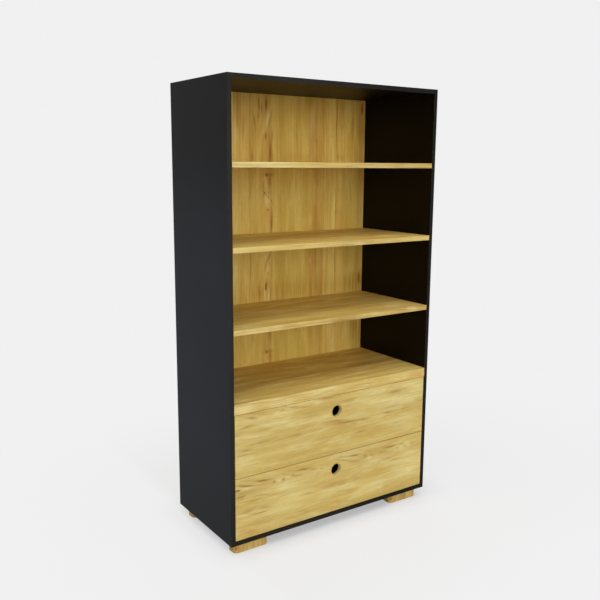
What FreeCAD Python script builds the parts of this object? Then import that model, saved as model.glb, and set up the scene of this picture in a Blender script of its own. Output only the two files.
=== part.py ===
import FreeCAD, Part

import os
import re

import Sketcher

# A tall bookcase: a dark carcass with three pine shelves over a thick pine deck, and two
# inset drawers below it.  It stands on four low pine blocks.
#
# Frame: +X to the right seen from the front, +Y to the back, +Z up.  The origin lies on the
# floor, under the middle of the carcass.  All lengths are in millimetres.

SIZES = {
    # carcass boards
    "carcass_width": 900,
    "carcass_depth": 410,
    "panel_thickness": 16,
    "deck_thickness": 36,
    "shelf_thickness": 18,
    "bay_height": 256,
    "lowest_bay_height": 237,
    "shelf_side_gap": 1,
    "shelf_rear_gap": 1,
    "edge_radius": 1,
    # back panel, let into a rebate all round
    "back_thickness": 3,
    "back_rebate": 8,
    "back_gap": 0.5,
    # feet
    "foot_length": 140,
    "foot_width": 52,
    "foot_height": 40,
    "foot_corner_radius": 18,
    "foot_edge_chamfer": 1.5,
    "foot_side_inset": 22,
    "foot_front_inset": 18,
    # drawer faces
    "face_height": 226,
    "face_thickness": 18,
    "face_gap": 2,
    "finger_hole_diameter": 44,
    "finger_hole_drop": 62,
    "finger_hole_round": 2,
    # drawer boxes
    "box_board_thickness": 15,
    "box_lift": 20,
    "box_top_drop": 26,
    "box_edge_round": 2,
    "box_bottom_thickness": 5,
    "groove_depth": 6,
    "groove_lift": 10,
    "groove_gap": 0.2,
    # telescopic ball-bearing runners
    "rail_setback": 2,
    "rail_rear_room": 37,
    "runner_thickness": 12.7,
    "runner_height": 45,
    "runner_sheet": 1.2,
    "runner_flange_gap": 2.9,
    "runner_lip": 1,
    "stop_tab_height": 16,
    "stop_tab_gap": 0.3,
    "ball_diameter": 3.6,
    "ball_gap": 0.1,
    "cage_sheet": 0.6,
    "cage_gap": 0.4,
    "cage_length": 150,
    "cage_end_margin": 10,
    # cam fittings
    "cam_diameter": 15,
    "cam_depth": 12,
    "cam_axis_depth": 7.5,
    "cam_setback": 34,
    "cam_end_inset": 70,
    "cam_slot_width": 2,
    "cam_slot_depth": 2.5,
    "box_cam_inset": 35,
    "bolt_diameter": 7,
    "bolt_bore_diameter": 8,
    "bolt_neck_diameter": 4,
    "bolt_neck_length": 5,
    "bolt_head_length": 3.5,
    "bolt_thread_diameter": 5,
    "bolt_thread_length": 11,
    # dowels
    "dowel_diameter": 8,
    "dowel_length": 30,
    "dowel_seat": 10,
    "dowel_chamfer": 1,
    "dowel_end_inset": 30,
    # shelf pins
    "pin_diameter": 5,
    "pin_seat": 9,
    "pin_reach": 8,
    "pin_plate_width": 8,
    "pin_plate_thickness": 1.5,
    "pin_end_inset": 40,
    # nails of the back panel
    "nail_diameter": 1.5,
    "nail_length": 18,
    "nail_head_diameter": 3.6,
    "nail_head_height": 0.8,
    # screws
    "runner_screw_diameter": 4,
    "runner_screw_length": 12,
    "runner_screw_head": 6.4,
    "runner_screw_inset": 35,
    "box_screw_diameter": 5,
    "box_screw_length": 42,
    "box_screw_head": 8,
    "box_screw_head_height": 2.5,
    "box_screw_inset": 30,
    "foot_screw_diameter": 4.5,
    "foot_screw_head": 8,
    "foot_screw_head_height": 3,
    "foot_screw_bite": 12,
    "foot_screw_inset": 30,
    "foot_counterbore_diameter": 10,
    "foot_counterbore_depth": 12,
    # clearance of every fastener in its hole, on the radius, and past its end
    "fit_gap": 0.05,
    "end_gap": 0.5,
}

# Places worked out from the sizes above.  Each formula may use the ones before it.
LAYOUT = {
    # across: half widths, measured from the middle plane
    "inner": "carcass_width / 2 - panel_thickness",
    "back_half_width": "inner + back_rebate - back_gap",
    "face_half_width": "inner - face_gap",
    "box_outer": "inner - runner_thickness",
    "box_inner": "box_outer - box_board_thickness",
    "bottom_half_width": "box_inner + groove_depth - groove_gap",
    # front to back
    "front": "-carcass_depth / 2",
    "rear": "carcass_depth / 2",
    "back_front": "rear - back_thickness",
    "shelf_rear": "back_front - shelf_rear_gap",
    "face_rear": "front + face_thickness",
    "rail_front": "face_rear + rail_setback",
    "runner_length": "back_front - rail_rear_room - rail_front",
    "box_rear": "rail_front + runner_length",
    "box_length": "box_rear - face_rear",
    "member_length": "runner_length - runner_sheet - stop_tab_gap",
    "cage_front": "(runner_length - cage_length) / 2",
    # upwards
    "floor_top": "foot_height + panel_thickness",
    "lower_face_foot": "floor_top + face_gap",
    "upper_face_foot": "lower_face_foot + face_height + face_gap",
    "deck_foot": "upper_face_foot + face_height + face_gap",
    "deck_top": "deck_foot + deck_thickness",
    "lower_shelf_foot": "deck_top + lowest_bay_height",
    "middle_shelf_foot": "lower_shelf_foot + shelf_thickness + bay_height",
    "upper_shelf_foot": "middle_shelf_foot + shelf_thickness + bay_height",
    "ceiling": "upper_shelf_foot + shelf_thickness + bay_height",
    "carcass_top": "ceiling + panel_thickness",
    "carcass_height": "carcass_top - foot_height",
    "back_foot": "floor_top - back_rebate + back_gap",
    "back_top": "ceiling + back_rebate - back_gap",
    # a drawer's heights, measured from the foot of its face
    "box_height": "face_height - box_lift - box_top_drop",
    "groove_height": "box_bottom_thickness + groove_gap",
    "box_back_lift": "groove_lift + groove_height",
    "runner_centre": "box_lift + box_height / 2",
    "finger_hole_centre": "face_height - finger_hole_drop",
    # section of a runner: heights above its centre line
    "rail_half": "runner_height / 2",
    "rail_race": "rail_half - runner_sheet",
    "race_height": "ball_diameter + 2 * ball_gap",
    "middle_half": "rail_race - race_height",
    "middle_race": "middle_half - runner_sheet",
    "slide_half": "middle_race - race_height",
    "slide_inside": "slide_half - runner_sheet",
    # section of a runner: distances from the carcass side
    "flange_reach": "runner_thickness - runner_flange_gap",
    "outer_cage_web": "runner_sheet + cage_gap",
    "middle_web": "outer_cage_web + cage_sheet + cage_gap",
    "inner_cage_web": "middle_web + runner_sheet + cage_gap",
    "slide_tip": "inner_cage_web + cage_sheet + cage_gap",
    "slide_web": "runner_thickness - runner_sheet",
    "outer_ball_centre": "middle_web + ball_diameter",
    "inner_ball_centre": "slide_tip + ball_diameter / 2",
    "cage_strip_reach": "ball_diameter / 2 + ball_gap + cage_sheet",
    # fasteners
    "bolt_reach": "cam_setback - bolt_head_length / 2 - end_gap",
    "foot_screw_length": "foot_height - foot_counterbore_depth + foot_screw_bite",
    "ball_row_length": "cage_length - 2 * cage_end_margin",
}

BALLS_IN_A_ROW = 8
NAILS_UP_A_SIDE = 7
NAILS_ALONG_A_BOARD = 4
RUNNER_SCREWS = 3
SIDES = {"left": -1, "right": 1}
DRAWERS = {"lower": "lower_face_foot", "upper": "upper_face_foot"}
SHELVES = {"lower": "lower_shelf_foot", "middle": "middle_shelf_foot", "upper": "upper_shelf_foot"}

X = FreeCAD.Vector(1, 0, 0)
Y = FreeCAD.Vector(0, 1, 0)
Z = FreeCAD.Vector(0, 0, 1)

doc = FreeCAD.newDocument("bookcase")
nodes = {}


# ---------------------------------------------------------------- sheets and formulas

def named(formula):
    """The formula with each size and place pointed at its cell."""
    def cell(match):
        word = match.group(0)
        if word in SIZES:
            return "Sizes." + word
        if word in LAYOUT:
            return "Layout." + word
        return word
    return re.sub(r"[a-z][a-z_]*", cell, str(formula))


def fill_sheets():
    """Write the driving sizes to one sheet and the places that follow from them to another."""
    sizes = doc.addObject("Spreadsheet::Sheet", "Sizes")
    layout = doc.addObject("Spreadsheet::Sheet", "Layout")
    for row, (alias, size) in enumerate(SIZES.items(), start=1):
        sizes.set(f"A{row}", alias)
        sizes.set(f"B{row}", str(size))
        sizes.setAlias(f"B{row}", alias)
    for row, (alias, formula) in enumerate(LAYOUT.items(), start=1):
        layout.set(f"A{row}", alias)
        layout.set(f"B{row}", "=" + named(formula).replace("Layout.", ""))
        layout.setAlias(f"B{row}", alias)
    doc.recompute()
    return layout


layout_sheet = fill_sheets()


def value(formula):
    """What a formula comes to at the present sizes."""
    return float(layout_sheet.evalExpression(named(formula)))


def bind(thing, **formulas):
    """Tie properties of an object to formulas."""
    for name, formula in formulas.items():
        thing.setExpression(name, named(formula))


def place(thing, x=0, y=0, z=0, rotation=None):
    """Put an object where three formulas say, turned by a fixed rotation."""
    thing.Placement = FreeCAD.Placement(FreeCAD.Vector(), rotation or FreeCAD.Rotation())
    for axis, formula in zip("xyz", (x, y, z)):
        thing.setExpression(f"Placement.Base.{axis}", named(formula))
    return thing


def pointing(direction):
    """The rotation that turns +Z to a direction."""
    return FreeCAD.Rotation(Z, direction)


def axes(x_axis, z_axis):
    """The rotation that turns +X and +Z to two directions at right angles."""
    return FreeCAD.Rotation(x_axis, z_axis.cross(x_axis), z_axis, "ZXY")


def keep(name, thing):
    """Name a finished sub-part."""
    thing.Label = name
    nodes[name] = thing
    return thing


# ---------------------------------------------------------------- bodies and their features

def new_body(name):
    return doc.addObject("PartDesign::Body", name)


def origin_feature(body, role):
    return next(item for item in body.Origin.OriginFeatures if item.Role == role)


def new_sketch(body, plane, offset=0):
    """A sketch on one of the body's origin planes, or on a plane parallel to it."""
    sketch = body.newObject("Sketcher::SketchObject", body.Name + "_sketch")
    sketch.AttachmentSupport = [(origin_feature(body, plane), "")]
    sketch.MapMode = "FlatFace"
    sketch.setExpression("AttachmentOffset.Base.z", named(offset))
    return sketch


def tie_point(sketch, geometry, point, x, y):
    """Hold a point of the sketch at two formulas from its origin."""
    for kind, formula in (("DistanceX", x), ("DistanceY", y)):
        index = sketch.addConstraint(Sketcher.Constraint(kind, -1, 1, geometry, point, value(formula)))
        name = f"{kind}_{geometry}"
        sketch.renameConstraint(index, name)
        sketch.setExpression(f"Constraints.{name}", named(formula))


def draw_outline(sketch, corners):
    """A closed outline with straight sides through corners given as formulas."""
    points = [FreeCAD.Vector(value(x), value(y), 0) for x, y in corners]
    first = sketch.GeometryCount
    count = len(points)
    for index, point in enumerate(points):
        sketch.addGeometry(Part.LineSegment(point, points[(index + 1) % count]))
    for index in range(count):
        following = first + (index + 1) % count
        sketch.addConstraint(Sketcher.Constraint("Coincident", first + index, 2, following, 1))
    for index, (x, y) in enumerate(corners):
        tie_point(sketch, first + index, 1, x, y)


def draw_rectangle(sketch, x_low, x_high, y_low, y_high):
    draw_outline(sketch, [(x_low, y_low), (x_high, y_low), (x_high, y_high), (x_low, y_high)])


def draw_circle(sketch, x, y, diameter):
    centre = FreeCAD.Vector(value(x), value(y), 0)
    index = sketch.addGeometry(Part.Circle(centre, Z, value(diameter) / 2))
    tie_point(sketch, index, 3, x, y)
    constraint = sketch.addConstraint(Sketcher.Constraint("Diameter", index, value(diameter)))
    name = f"Diameter_{index}"
    sketch.renameConstraint(constraint, name)
    sketch.setExpression(f"Constraints.{name}", named(diameter))


def pad(body, sketch, length, backwards=False):
    """Raise a sketch.  On the XZ plane only a backwards pad goes towards +Y."""
    feature = body.newObject("PartDesign::Pad", body.Name + "_pad")
    feature.Profile = sketch
    feature.Reversed = backwards
    bind(feature, Length=length)
    doc.recompute()
    return feature


def pocket(body, sketch, depth, backwards=False):
    """Cut a sketch into the body, and make sure that it met the body."""
    before = body.Shape.Volume
    feature = body.newObject("PartDesign::Pocket", body.Name + "_pocket")
    feature.Profile = sketch
    feature.Reversed = backwards
    bind(feature, Length=depth)
    doc.recompute()
    if body.Shape.Volume >= before:
        raise RuntimeError(f"{feature.Name} cuts nothing")
    return feature


def turn(body, sketch):
    """Turn a half section on the XZ plane about the body's upright axis."""
    feature = body.newObject("PartDesign::Revolution", body.Name + "_turned")
    feature.Profile = sketch
    feature.ReferenceAxis = (origin_feature(body, "Z_Axis"), [""])
    feature.Angle = 360
    doc.recompute()
    return feature


def edges_where(body, test):
    """Names of the body's edges whose middle point and direction pass a test."""
    names = []
    for number, edge in enumerate(body.Shape.Edges, start=1):
        along = edge.Vertexes[-1].Point - edge.Vertexes[0].Point
        if test(edge.CenterOfMass, along):
            names.append(f"Edge{number}")
    return names


def close(a, b):
    tolerance = 1e-4
    return abs(a - b) < tolerance


def soften(body, kind, names, size):
    """Round (Fillet) or bevel (Chamfer) the named edges of the body's last feature."""
    base = body.Tip
    feature = body.newObject("PartDesign::" + kind, body.Name + "_" + kind.lower())
    feature.Base = (base, names)
    bind(feature, **{{"Fillet": "Radius", "Chamfer": "Size"}[kind]: size})
    doc.recompute()
    return feature


def board(name, plane, low, high, thickness):
    """A flat board.  Its outline lies on the plane between two corners, and it is raised to +."""
    body = new_body(name)
    sketch = new_sketch(body, plane)
    draw_rectangle(sketch, low[0], high[0], low[1], high[1])
    pad(body, sketch, thickness, backwards=plane == "XZ_Plane")
    return body


def moulding(name, plane, corners, length):
    """A length of board with the same section all along it."""
    body = new_body(name)
    sketch = new_sketch(body, plane)
    draw_outline(sketch, corners)
    pad(body, sketch, length, backwards=plane == "XZ_Plane")
    return body


# ---------------------------------------------------------------- holes

def bore(x, y, z, direction, diameter, depth):
    """A cutter for a round hole that starts at a point and runs in a direction."""
    cylinder = doc.addObject("Part::Cylinder", "bore")
    bind(cylinder, Radius=f"({diameter}) / 2 + fit_gap", Height=depth)
    return place(cylinder, x, y, z, pointing(direction))


def countersink(x, y, z, direction, wide, narrow, depth):
    """A cutter for a cone that narrows from a point in a direction."""
    cone = doc.addObject("Part::Cone", "countersink")
    bind(cone, Radius1=f"({wide}) / 2 + fit_gap", Radius2=f"({narrow}) / 2 + fit_gap", Height=depth)
    return place(cone, x, y, z, pointing(direction))


def slot(x, y, z, length, width, height):
    """A cutter for a straight groove, from its low corner."""
    box = doc.addObject("Part::Box", "slot")
    bind(box, Length=length, Width=width, Height=height)
    return place(box, x, y, z)


def drilled(name, blank, cutters):
    """The blank with every cutter taken out of it."""
    blank.Label = name + "_blank"
    tool = cutters[0]
    if len(cutters) > 1:
        tool = doc.addObject("Part::MultiFuse", name + "_cutters")
        tool.Shapes = cutters
    cut = doc.addObject("Part::Cut", name)
    cut.Base = blank
    cut.Tool = tool
    return keep(name, cut)


# ---------------------------------------------------------------- fasteners

def turned_piece(name, half_section):
    """A round piece about +Z from half of its section, given as (radius, height) formulas."""
    body = new_body(name)
    sketch = new_sketch(body, "XZ_Plane")
    draw_outline(sketch, half_section)
    turn(body, sketch)
    return body


def screw_master(name, diameter, length, head, head_height):
    """A countersunk screw that points down from the flat top of its head at height 0."""
    return turned_piece(name, [
        ("0", "0"),
        (f"{head} / 2", "0"),
        (f"{diameter} / 2", f"-({head_height})"),
        (f"{diameter} / 2", f"-({length}) + {diameter} / 2"),
        ("0", f"-({length})"),
    ])


def cam_bolt_master():
    """A cam bolt: its thread below height 0, its shank, neck and head above it."""
    neck_foot = "bolt_reach - bolt_head_length - bolt_neck_length"
    head_foot = "bolt_reach - bolt_head_length"
    return turned_piece("cam_bolt", [
        ("0", "-bolt_thread_length"),
        ("bolt_thread_diameter / 2", "-bolt_thread_length"),
        ("bolt_thread_diameter / 2", "0"),
        ("bolt_diameter / 2", "0"),
        ("bolt_diameter / 2", neck_foot),
        ("bolt_neck_diameter / 2", neck_foot),
        ("bolt_neck_diameter / 2", head_foot),
        ("bolt_diameter / 2", head_foot),
        ("bolt_diameter / 2", "bolt_reach"),
        ("0", "bolt_reach"),
    ])


def cam_lock_master():
    """A cam lock: a disc under height 0 with a driver slot, bored from -X to take a bolt."""
    body = new_body("cam_lock")
    disc = new_sketch(body, "XY_Plane")
    draw_circle(disc, "0", "0", "cam_diameter")
    pad(body, disc, "cam_depth", backwards=True)
    throat = new_sketch(body, "YZ_Plane")
    draw_circle(throat, "0", "-cam_axis_depth", "bolt_bore_diameter")
    pocket(body, throat, "cam_diameter")
    driver = new_sketch(body, "XY_Plane")
    half_slot = "cam_slot_width / 2"
    slot_reach = "cam_diameter / 2 - cam_slot_width"
    draw_rectangle(driver, f"-({slot_reach})", slot_reach, f"-{half_slot}", half_slot)
    pocket(body, driver, "cam_slot_depth")
    return body


def dowel_master():
    """A dowel that stands on height 0, with both ends chamfered."""
    radius = "dowel_diameter / 2"
    return turned_piece("dowel", [
        ("0", "0"),
        (f"{radius} - dowel_chamfer", "0"),
        (radius, "dowel_chamfer"),
        (radius, "dowel_length - dowel_chamfer"),
        (f"{radius} - dowel_chamfer", "dowel_length"),
        ("0", "dowel_length"),
    ])


def nail_master():
    """A nail that points down from the top of its flat head at height 0."""
    return turned_piece("nail", [
        ("0", "0"),
        ("nail_head_diameter / 2", "0"),
        ("nail_head_diameter / 2", "-nail_head_height"),
        ("nail_diameter / 2", "-nail_head_height"),
        ("nail_diameter / 2", "nail_diameter - nail_length"),
        ("0", "-nail_length"),
    ])


def shelf_pin_master():
    """A shelf pin: a peg along X that sits in the side below x = 0, and a flat plate on it."""
    peg = doc.addObject("Part::Cylinder", "pin_peg")
    bind(peg, Radius="pin_diameter / 2", Height="pin_seat + pin_reach")
    place(peg, "-pin_seat", "0", "-(pin_diameter + pin_plate_thickness) / 2", pointing(X))
    plate = doc.addObject("Part::Box", "pin_plate")
    bind(plate, Length="pin_reach - fit_gap", Width="pin_plate_width", Height="pin_plate_thickness")
    place(plate, "fit_gap", "-pin_plate_width / 2", "-pin_plate_thickness")
    pin = doc.addObject("Part::Fuse", "shelf_pin")
    pin.Base = peg
    pin.Tool = plate
    return pin


def fasteners(name, master, places):
    """Like fasteners in one group: a copy of the master at each (x, y, z, rotation)."""
    copies = []
    for x, y, z, rotation in places:
        copy = doc.addObject("App::Link", name + "_copy")
        copy.LinkedObject = master
        copy.LinkTransform = False
        copies.append(place(copy, x, y, z, rotation))
    group = doc.addObject("Part::Compound", name)
    group.Links = copies
    return keep(name, group)


class Drilling:
    """Gathers, for each board, the cutters that its fasteners need."""

    def __init__(self):
        self.cutters = {}

    def add(self, boards, cutter):
        for name in boards:
            self.cutters.setdefault(name, []).append(cutter)


# ---------------------------------------------------------------- carcass

# The three boards between the sides: where their cams open, and how high their bolts and
# dowels lie.
CARCASS_JOINTS = {
    "top_panel": {
        "cam_face": "carcass_top",
        "cams_face": Z,
        "bolts": "carcass_top - cam_axis_depth",
        "dowels": "ceiling + panel_thickness / 2",
    },
    "deck_panel": {
        "cam_face": "deck_foot",
        "cams_face": -Z,
        "bolts": "deck_foot + cam_axis_depth",
        "dowels": "deck_foot + deck_thickness / 2",
    },
    "bottom_panel": {
        "cam_face": "foot_height",
        "cams_face": -Z,
        "bolts": "foot_height + cam_axis_depth",
        "dowels": "foot_height + panel_thickness / 2",
    },
}


def carcass_cams(drilling):
    """Cam locks and bolts at both ends of the top, the deck and the bottom."""
    locks = []
    bolts = []
    for panel, joint in CARCASS_JOINTS.items():
        for side_name, side in SIDES.items():
            inwards = X * -side
            wall = f"{side} * inner"
            side_panel = "side_panel_" + side_name
            for y in ("front + cam_end_inset", "rear - cam_end_inset"):
                x_lock = f"{side} * (inner - cam_setback)"
                locks.append((x_lock, y, joint["cam_face"], axes(inwards, joint["cams_face"])))
                bolts.append((wall, y, joint["bolts"], pointing(inwards)))
                housing = bore(x_lock, y, joint["cam_face"], -joint["cams_face"],
                               "cam_diameter", "cam_depth + end_gap")
                throat = bore(wall, y, joint["bolts"], inwards, "bolt_bore_diameter", "cam_setback")
                thread = bore(wall, y, joint["bolts"], -inwards,
                              "bolt_thread_diameter", "bolt_thread_length + end_gap")
                drilling.add([panel], housing)
                drilling.add([panel], throat)
                drilling.add([side_panel], thread)
    fasteners("carcass_cam_locks", cam_lock, locks)
    fasteners("carcass_cam_bolts", cam_bolt, bolts)


def carcass_dowels(drilling):
    """Dowels at both ends of the top, the deck and the bottom."""
    places = []
    for panel, joint in CARCASS_JOINTS.items():
        for side_name, side in SIDES.items():
            inwards = X * -side
            for y in ("front + dowel_end_inset", "0", "rear - dowel_end_inset"):
                start = f"{side} * (inner + dowel_seat)"
                places.append((start, y, joint["dowels"], pointing(inwards)))
                hole = bore(f"{side} * (inner + dowel_seat + end_gap)", y, joint["dowels"], inwards,
                            "dowel_diameter", "dowel_length + 2 * end_gap")
                drilling.add([panel, "side_panel_" + side_name], hole)
    fasteners("carcass_dowels", dowel_master(), places)


def back_nails(drilling):
    """Nails round the back panel and along the deck, their heads let in flush."""
    places = []
    for side_name, side in SIDES.items():
        for number in range(NAILS_UP_A_SIDE):
            x = f"{side} * (inner + back_rebate / 2)"
            z = f"floor_top + (ceiling - floor_top) * {(number + 0.5) / NAILS_UP_A_SIDE}"
            places.append((x, z, "side_panel_" + side_name))
    rows = {
        "bottom_panel": "floor_top - back_rebate / 2",
        "deck_panel": "deck_foot + deck_thickness / 2",
        "top_panel": "ceiling + back_rebate / 2",
    }
    for panel, z in rows.items():
        for number in range(NAILS_ALONG_A_BOARD):
            x = f"inner * {(2 * number + 1) / NAILS_ALONG_A_BOARD - 1}"
            places.append((x, z, panel))
    for x, z, panel in places:
        head = bore(x, "rear", z, -Y, "nail_head_diameter", "nail_head_height")
        shank = bore(x, "rear", z, -Y, "nail_diameter", "nail_length + end_gap")
        drilling.add(["back_panel"], head)
        drilling.add(["back_panel", panel], shank)
    fasteners("back_panel_nails", nail_master(), [(x, "rear", z, pointing(Y)) for x, z, _ in places])


def shelf_pins(drilling):
    """Four pins under each shelf."""
    places = []
    drop = "(pin_diameter + pin_plate_thickness) / 2"
    for foot in SHELVES.values():
        for side_name, side in SIDES.items():
            for y in ("front + pin_end_inset", "shelf_rear - pin_end_inset"):
                places.append((f"{side} * inner", y, foot, axes(X * -side, Z)))
                seat = bore(f"{side} * inner", y, f"{foot} - {drop}", X * side,
                            "pin_diameter", "pin_seat + end_gap")
                drilling.add(["side_panel_" + side_name], seat)
    fasteners("shelf_pins", shelf_pin_master(), places)


def side_panels(drilling):
    """Full-height sides, rebated for the back along their inner rear edges."""
    for name, side in SIDES.items():
        node = "side_panel_" + name
        inner = f"{side} * inner"
        rebate = f"{side} * (inner + back_rebate)"
        outer = f"{side} * carcass_width / 2"
        body = moulding(node, "XY_Plane", [
            (inner, "front"),
            (inner, "back_front"),
            (rebate, "back_front"),
            (rebate, "rear"),
            (outer, "rear"),
            (outer, "front"),
        ], "carcass_height")
        place(body, z="foot_height")
        outside = value(outer)
        names = edges_where(body, lambda middle, along: close(middle.x, outside))
        soften(body, "Fillet", names, "edge_radius")
        drilled(node, body, drilling.cutters[node])


def end_panels(drilling):
    """The top and the bottom, between the sides, rebated for the back."""
    settings = {
        "top_panel": ("ceiling", "back_rebate", "panel_thickness", "0"),
        "bottom_panel": ("foot_height", "panel_thickness - back_rebate", "0", "panel_thickness"),
    }
    for node, (foot, ledge, outer_face, inner_face) in settings.items():
        body = moulding(node, "YZ_Plane", [
            ("front", outer_face),
            ("rear", outer_face),
            ("rear", ledge),
            ("back_front", ledge),
            ("back_front", inner_face),
            ("front", inner_face),
        ], "2 * inner")
        front = value("front")
        outer_z = value(outer_face)

        def is_outer_front(middle, along):
            return close(middle.y, front) and close(middle.z, outer_z)
        soften(body, "Fillet", edges_where(body, is_outer_front), "edge_radius")
        place(body, x="-inner", z=foot)
        drilled(node, body, drilling.cutters[node])


def is_long_front_edge(middle, along):
    """An edge along X at the front of a board that reaches the carcass front."""
    return close(middle.y, value("front")) and close(along.y, 0) and close(along.z, 0)


def deck_panel(drilling):
    """The thick board over the drawers."""
    body = board("deck_panel", "XY_Plane", ("-inner", "front"), ("inner", "back_front"), "deck_thickness")
    place(body, z="deck_foot")
    soften(body, "Fillet", edges_where(body, is_long_front_edge), "edge_radius")
    drilled("deck_panel", body, drilling.cutters["deck_panel"])


def shelves():
    """Three loose shelves, flush with the carcass front."""
    for name, foot in SHELVES.items():
        node = "shelf_" + name
        body = board(node, "XY_Plane", ("-(inner - shelf_side_gap)", "front"),
                     ("inner - shelf_side_gap", "shelf_rear"), "shelf_thickness")
        place(body, z=foot)
        soften(body, "Fillet", edges_where(body, is_long_front_edge), "edge_radius")
        keep(node, body)


def back_panel(drilling):
    """A thin sheet in the rebates, flush with the rear edges of the carcass."""
    body = board("back_panel", "XZ_Plane", ("-back_half_width", "back_foot"),
                 ("back_half_width", "back_top"), "back_thickness")
    place(body, y="back_front")
    drilled("back_panel", body, drilling.cutters["back_panel"])


def feet(drilling):
    """Four blocks with round corners, each screwed up into the bottom panel."""
    places = []
    for end_name, end in {"front": -1, "rear": 1}.items():
        for side_name, side in SIDES.items():
            node = f"foot_{end_name}_{side_name}"
            body = board(node, "XY_Plane", ("-foot_length / 2", "-foot_width / 2"),
                         ("foot_length / 2", "foot_width / 2"), "foot_height")
            x = f"{side} * (carcass_width / 2 - foot_side_inset - foot_length / 2)"
            y = f"{end} * (carcass_depth / 2 - foot_front_inset - foot_width / 2)"
            upright = edges_where(body, lambda middle, along: not close(along.z, 0))
            soften(body, "Fillet", upright, "foot_corner_radius")
            underside = edges_where(body, lambda middle, along: close(middle.z, 0))
            soften(body, "Chamfer", underside, "foot_edge_chamfer")
            place(body, x, y)
            cutters = []
            for step in (-1, 1):
                x_screw = f"{x} + {step} * (foot_length / 2 - foot_screw_inset)"
                places.append((x_screw, y, "foot_counterbore_depth", pointing(-Z)))
                cutters.append(bore(x_screw, y, "0", Z, "foot_counterbore_diameter",
                                    "foot_counterbore_depth"))
                cutters.append(bore(x_screw, y, "0", Z, "foot_screw_diameter",
                                    "foot_height + foot_screw_bite + end_gap"))
                cutters.append(countersink(x_screw, y, "foot_counterbore_depth", Z, "foot_screw_head",
                                           "foot_screw_diameter", "foot_screw_head_height"))
                drilling.add(["bottom_panel"], cutters[-2])
            drilled(node, body, cutters)
    master = screw_master("foot_screw", "foot_screw_diameter", "foot_screw_length",
                          "foot_screw_head", "foot_screw_head_height")
    fasteners("foot_screws", master, places)


# ---------------------------------------------------------------- runners

def mirrored_section(upper_half):
    """Add the lower half of a section that is the same above and below its centre line."""
    lower_half = [(across, f"-({up})") for across, up in reversed(upper_half)]
    return upper_half + lower_half


def runner_member(node, side, corners, length, x, y, z):
    """A rolled member along Y.  Its section is given as distances from the carcass side."""
    section = [(f"{-side} * ({across})", up) for across, up in corners]
    body = moulding(node, "XZ_Plane", section, length)
    return place(body, x, y, z)


def rail_outline():
    """The member on the carcass: a channel with lips turned in."""
    lip = "flange_reach - runner_lip"
    return mirrored_section([
        ("0", "rail_half"),
        ("flange_reach", "rail_half"),
        ("flange_reach", "rail_race - runner_lip"),
        (lip, "rail_race - runner_lip"),
        (lip, "rail_race"),
        ("runner_sheet", "rail_race"),
    ])


def middle_outline():
    """The member between: a channel whose flanges end in lips turned both ways."""
    lip = "flange_reach - runner_lip"
    return mirrored_section([
        ("middle_web", "middle_half"),
        (lip, "middle_half"),
        (lip, "middle_half + runner_lip"),
        ("flange_reach", "middle_half + runner_lip"),
        ("flange_reach", "middle_race - runner_lip"),
        (lip, "middle_race - runner_lip"),
        (lip, "middle_race"),
        ("middle_web + runner_sheet", "middle_race"),
    ])


def slide_outline():
    """The member on the drawer: a channel that opens towards the carcass."""
    return mirrored_section([
        ("runner_thickness", "slide_half"),
        ("slide_tip", "slide_half"),
        ("slide_tip", "slide_inside"),
        ("slide_web", "slide_inside"),
    ])


def cage_outline(web, ball_centre, ball_height):
    """A ball cage: a thin channel whose flanges run through the middle of the ball rows."""
    reach = f"{ball_centre} + cage_strip_reach"
    return mirrored_section([
        (web, f"{ball_height} + cage_sheet / 2"),
        (reach, f"{ball_height} + cage_sheet / 2"),
        (reach, f"{ball_height} - cage_sheet / 2"),
        (f"{web} + cage_sheet", f"{ball_height} - cage_sheet / 2"),
    ])


def screw_rows():
    """How far the screws of a runner member lie from its front end."""
    span = "(runner_length - 2 * runner_screw_inset)"
    shares = [number / (RUNNER_SCREWS - 1) for number in range(RUNNER_SCREWS)]
    return [f"runner_screw_inset + {span} * {share}" for share in shares]


def screwed_member(node, body, wall, foot, direction, sheet_face, drilling, board_node):
    """Drill a runner member and its board, and give the places of the screws.

    The screws point in a direction from the inside of the member's web."""
    places = []
    cutters = []
    z = f"{foot} + runner_centre"
    for along in screw_rows():
        y = f"rail_front + {along}"
        places.append((sheet_face, y, z, pointing(-direction)))
        cutters.append(countersink(sheet_face, y, z, direction, "runner_screw_head",
                                   "runner_screw_diameter", "runner_sheet"))
        pilot = bore(wall, y, z, direction, "runner_screw_diameter",
                     "runner_screw_length - runner_sheet + end_gap")
        drilling.add([board_node], pilot)
    drilled(node, body, cutters)
    return places


def rail_with_stop(node, side, x, z):
    """A carcass rail with the tab at its rear end that stops the moving members."""
    body = runner_member(node, side, rail_outline(), "runner_length", x, "rail_front", z)
    tab = new_sketch(body, "XZ_Plane", "-runner_length")
    near = f"{-side} * runner_sheet"
    far = f"{-side} * flange_reach"
    draw_rectangle(tab, near, far, "-stop_tab_height / 2", "stop_tab_height / 2")
    pad(body, tab, "runner_sheet")
    return body


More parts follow.
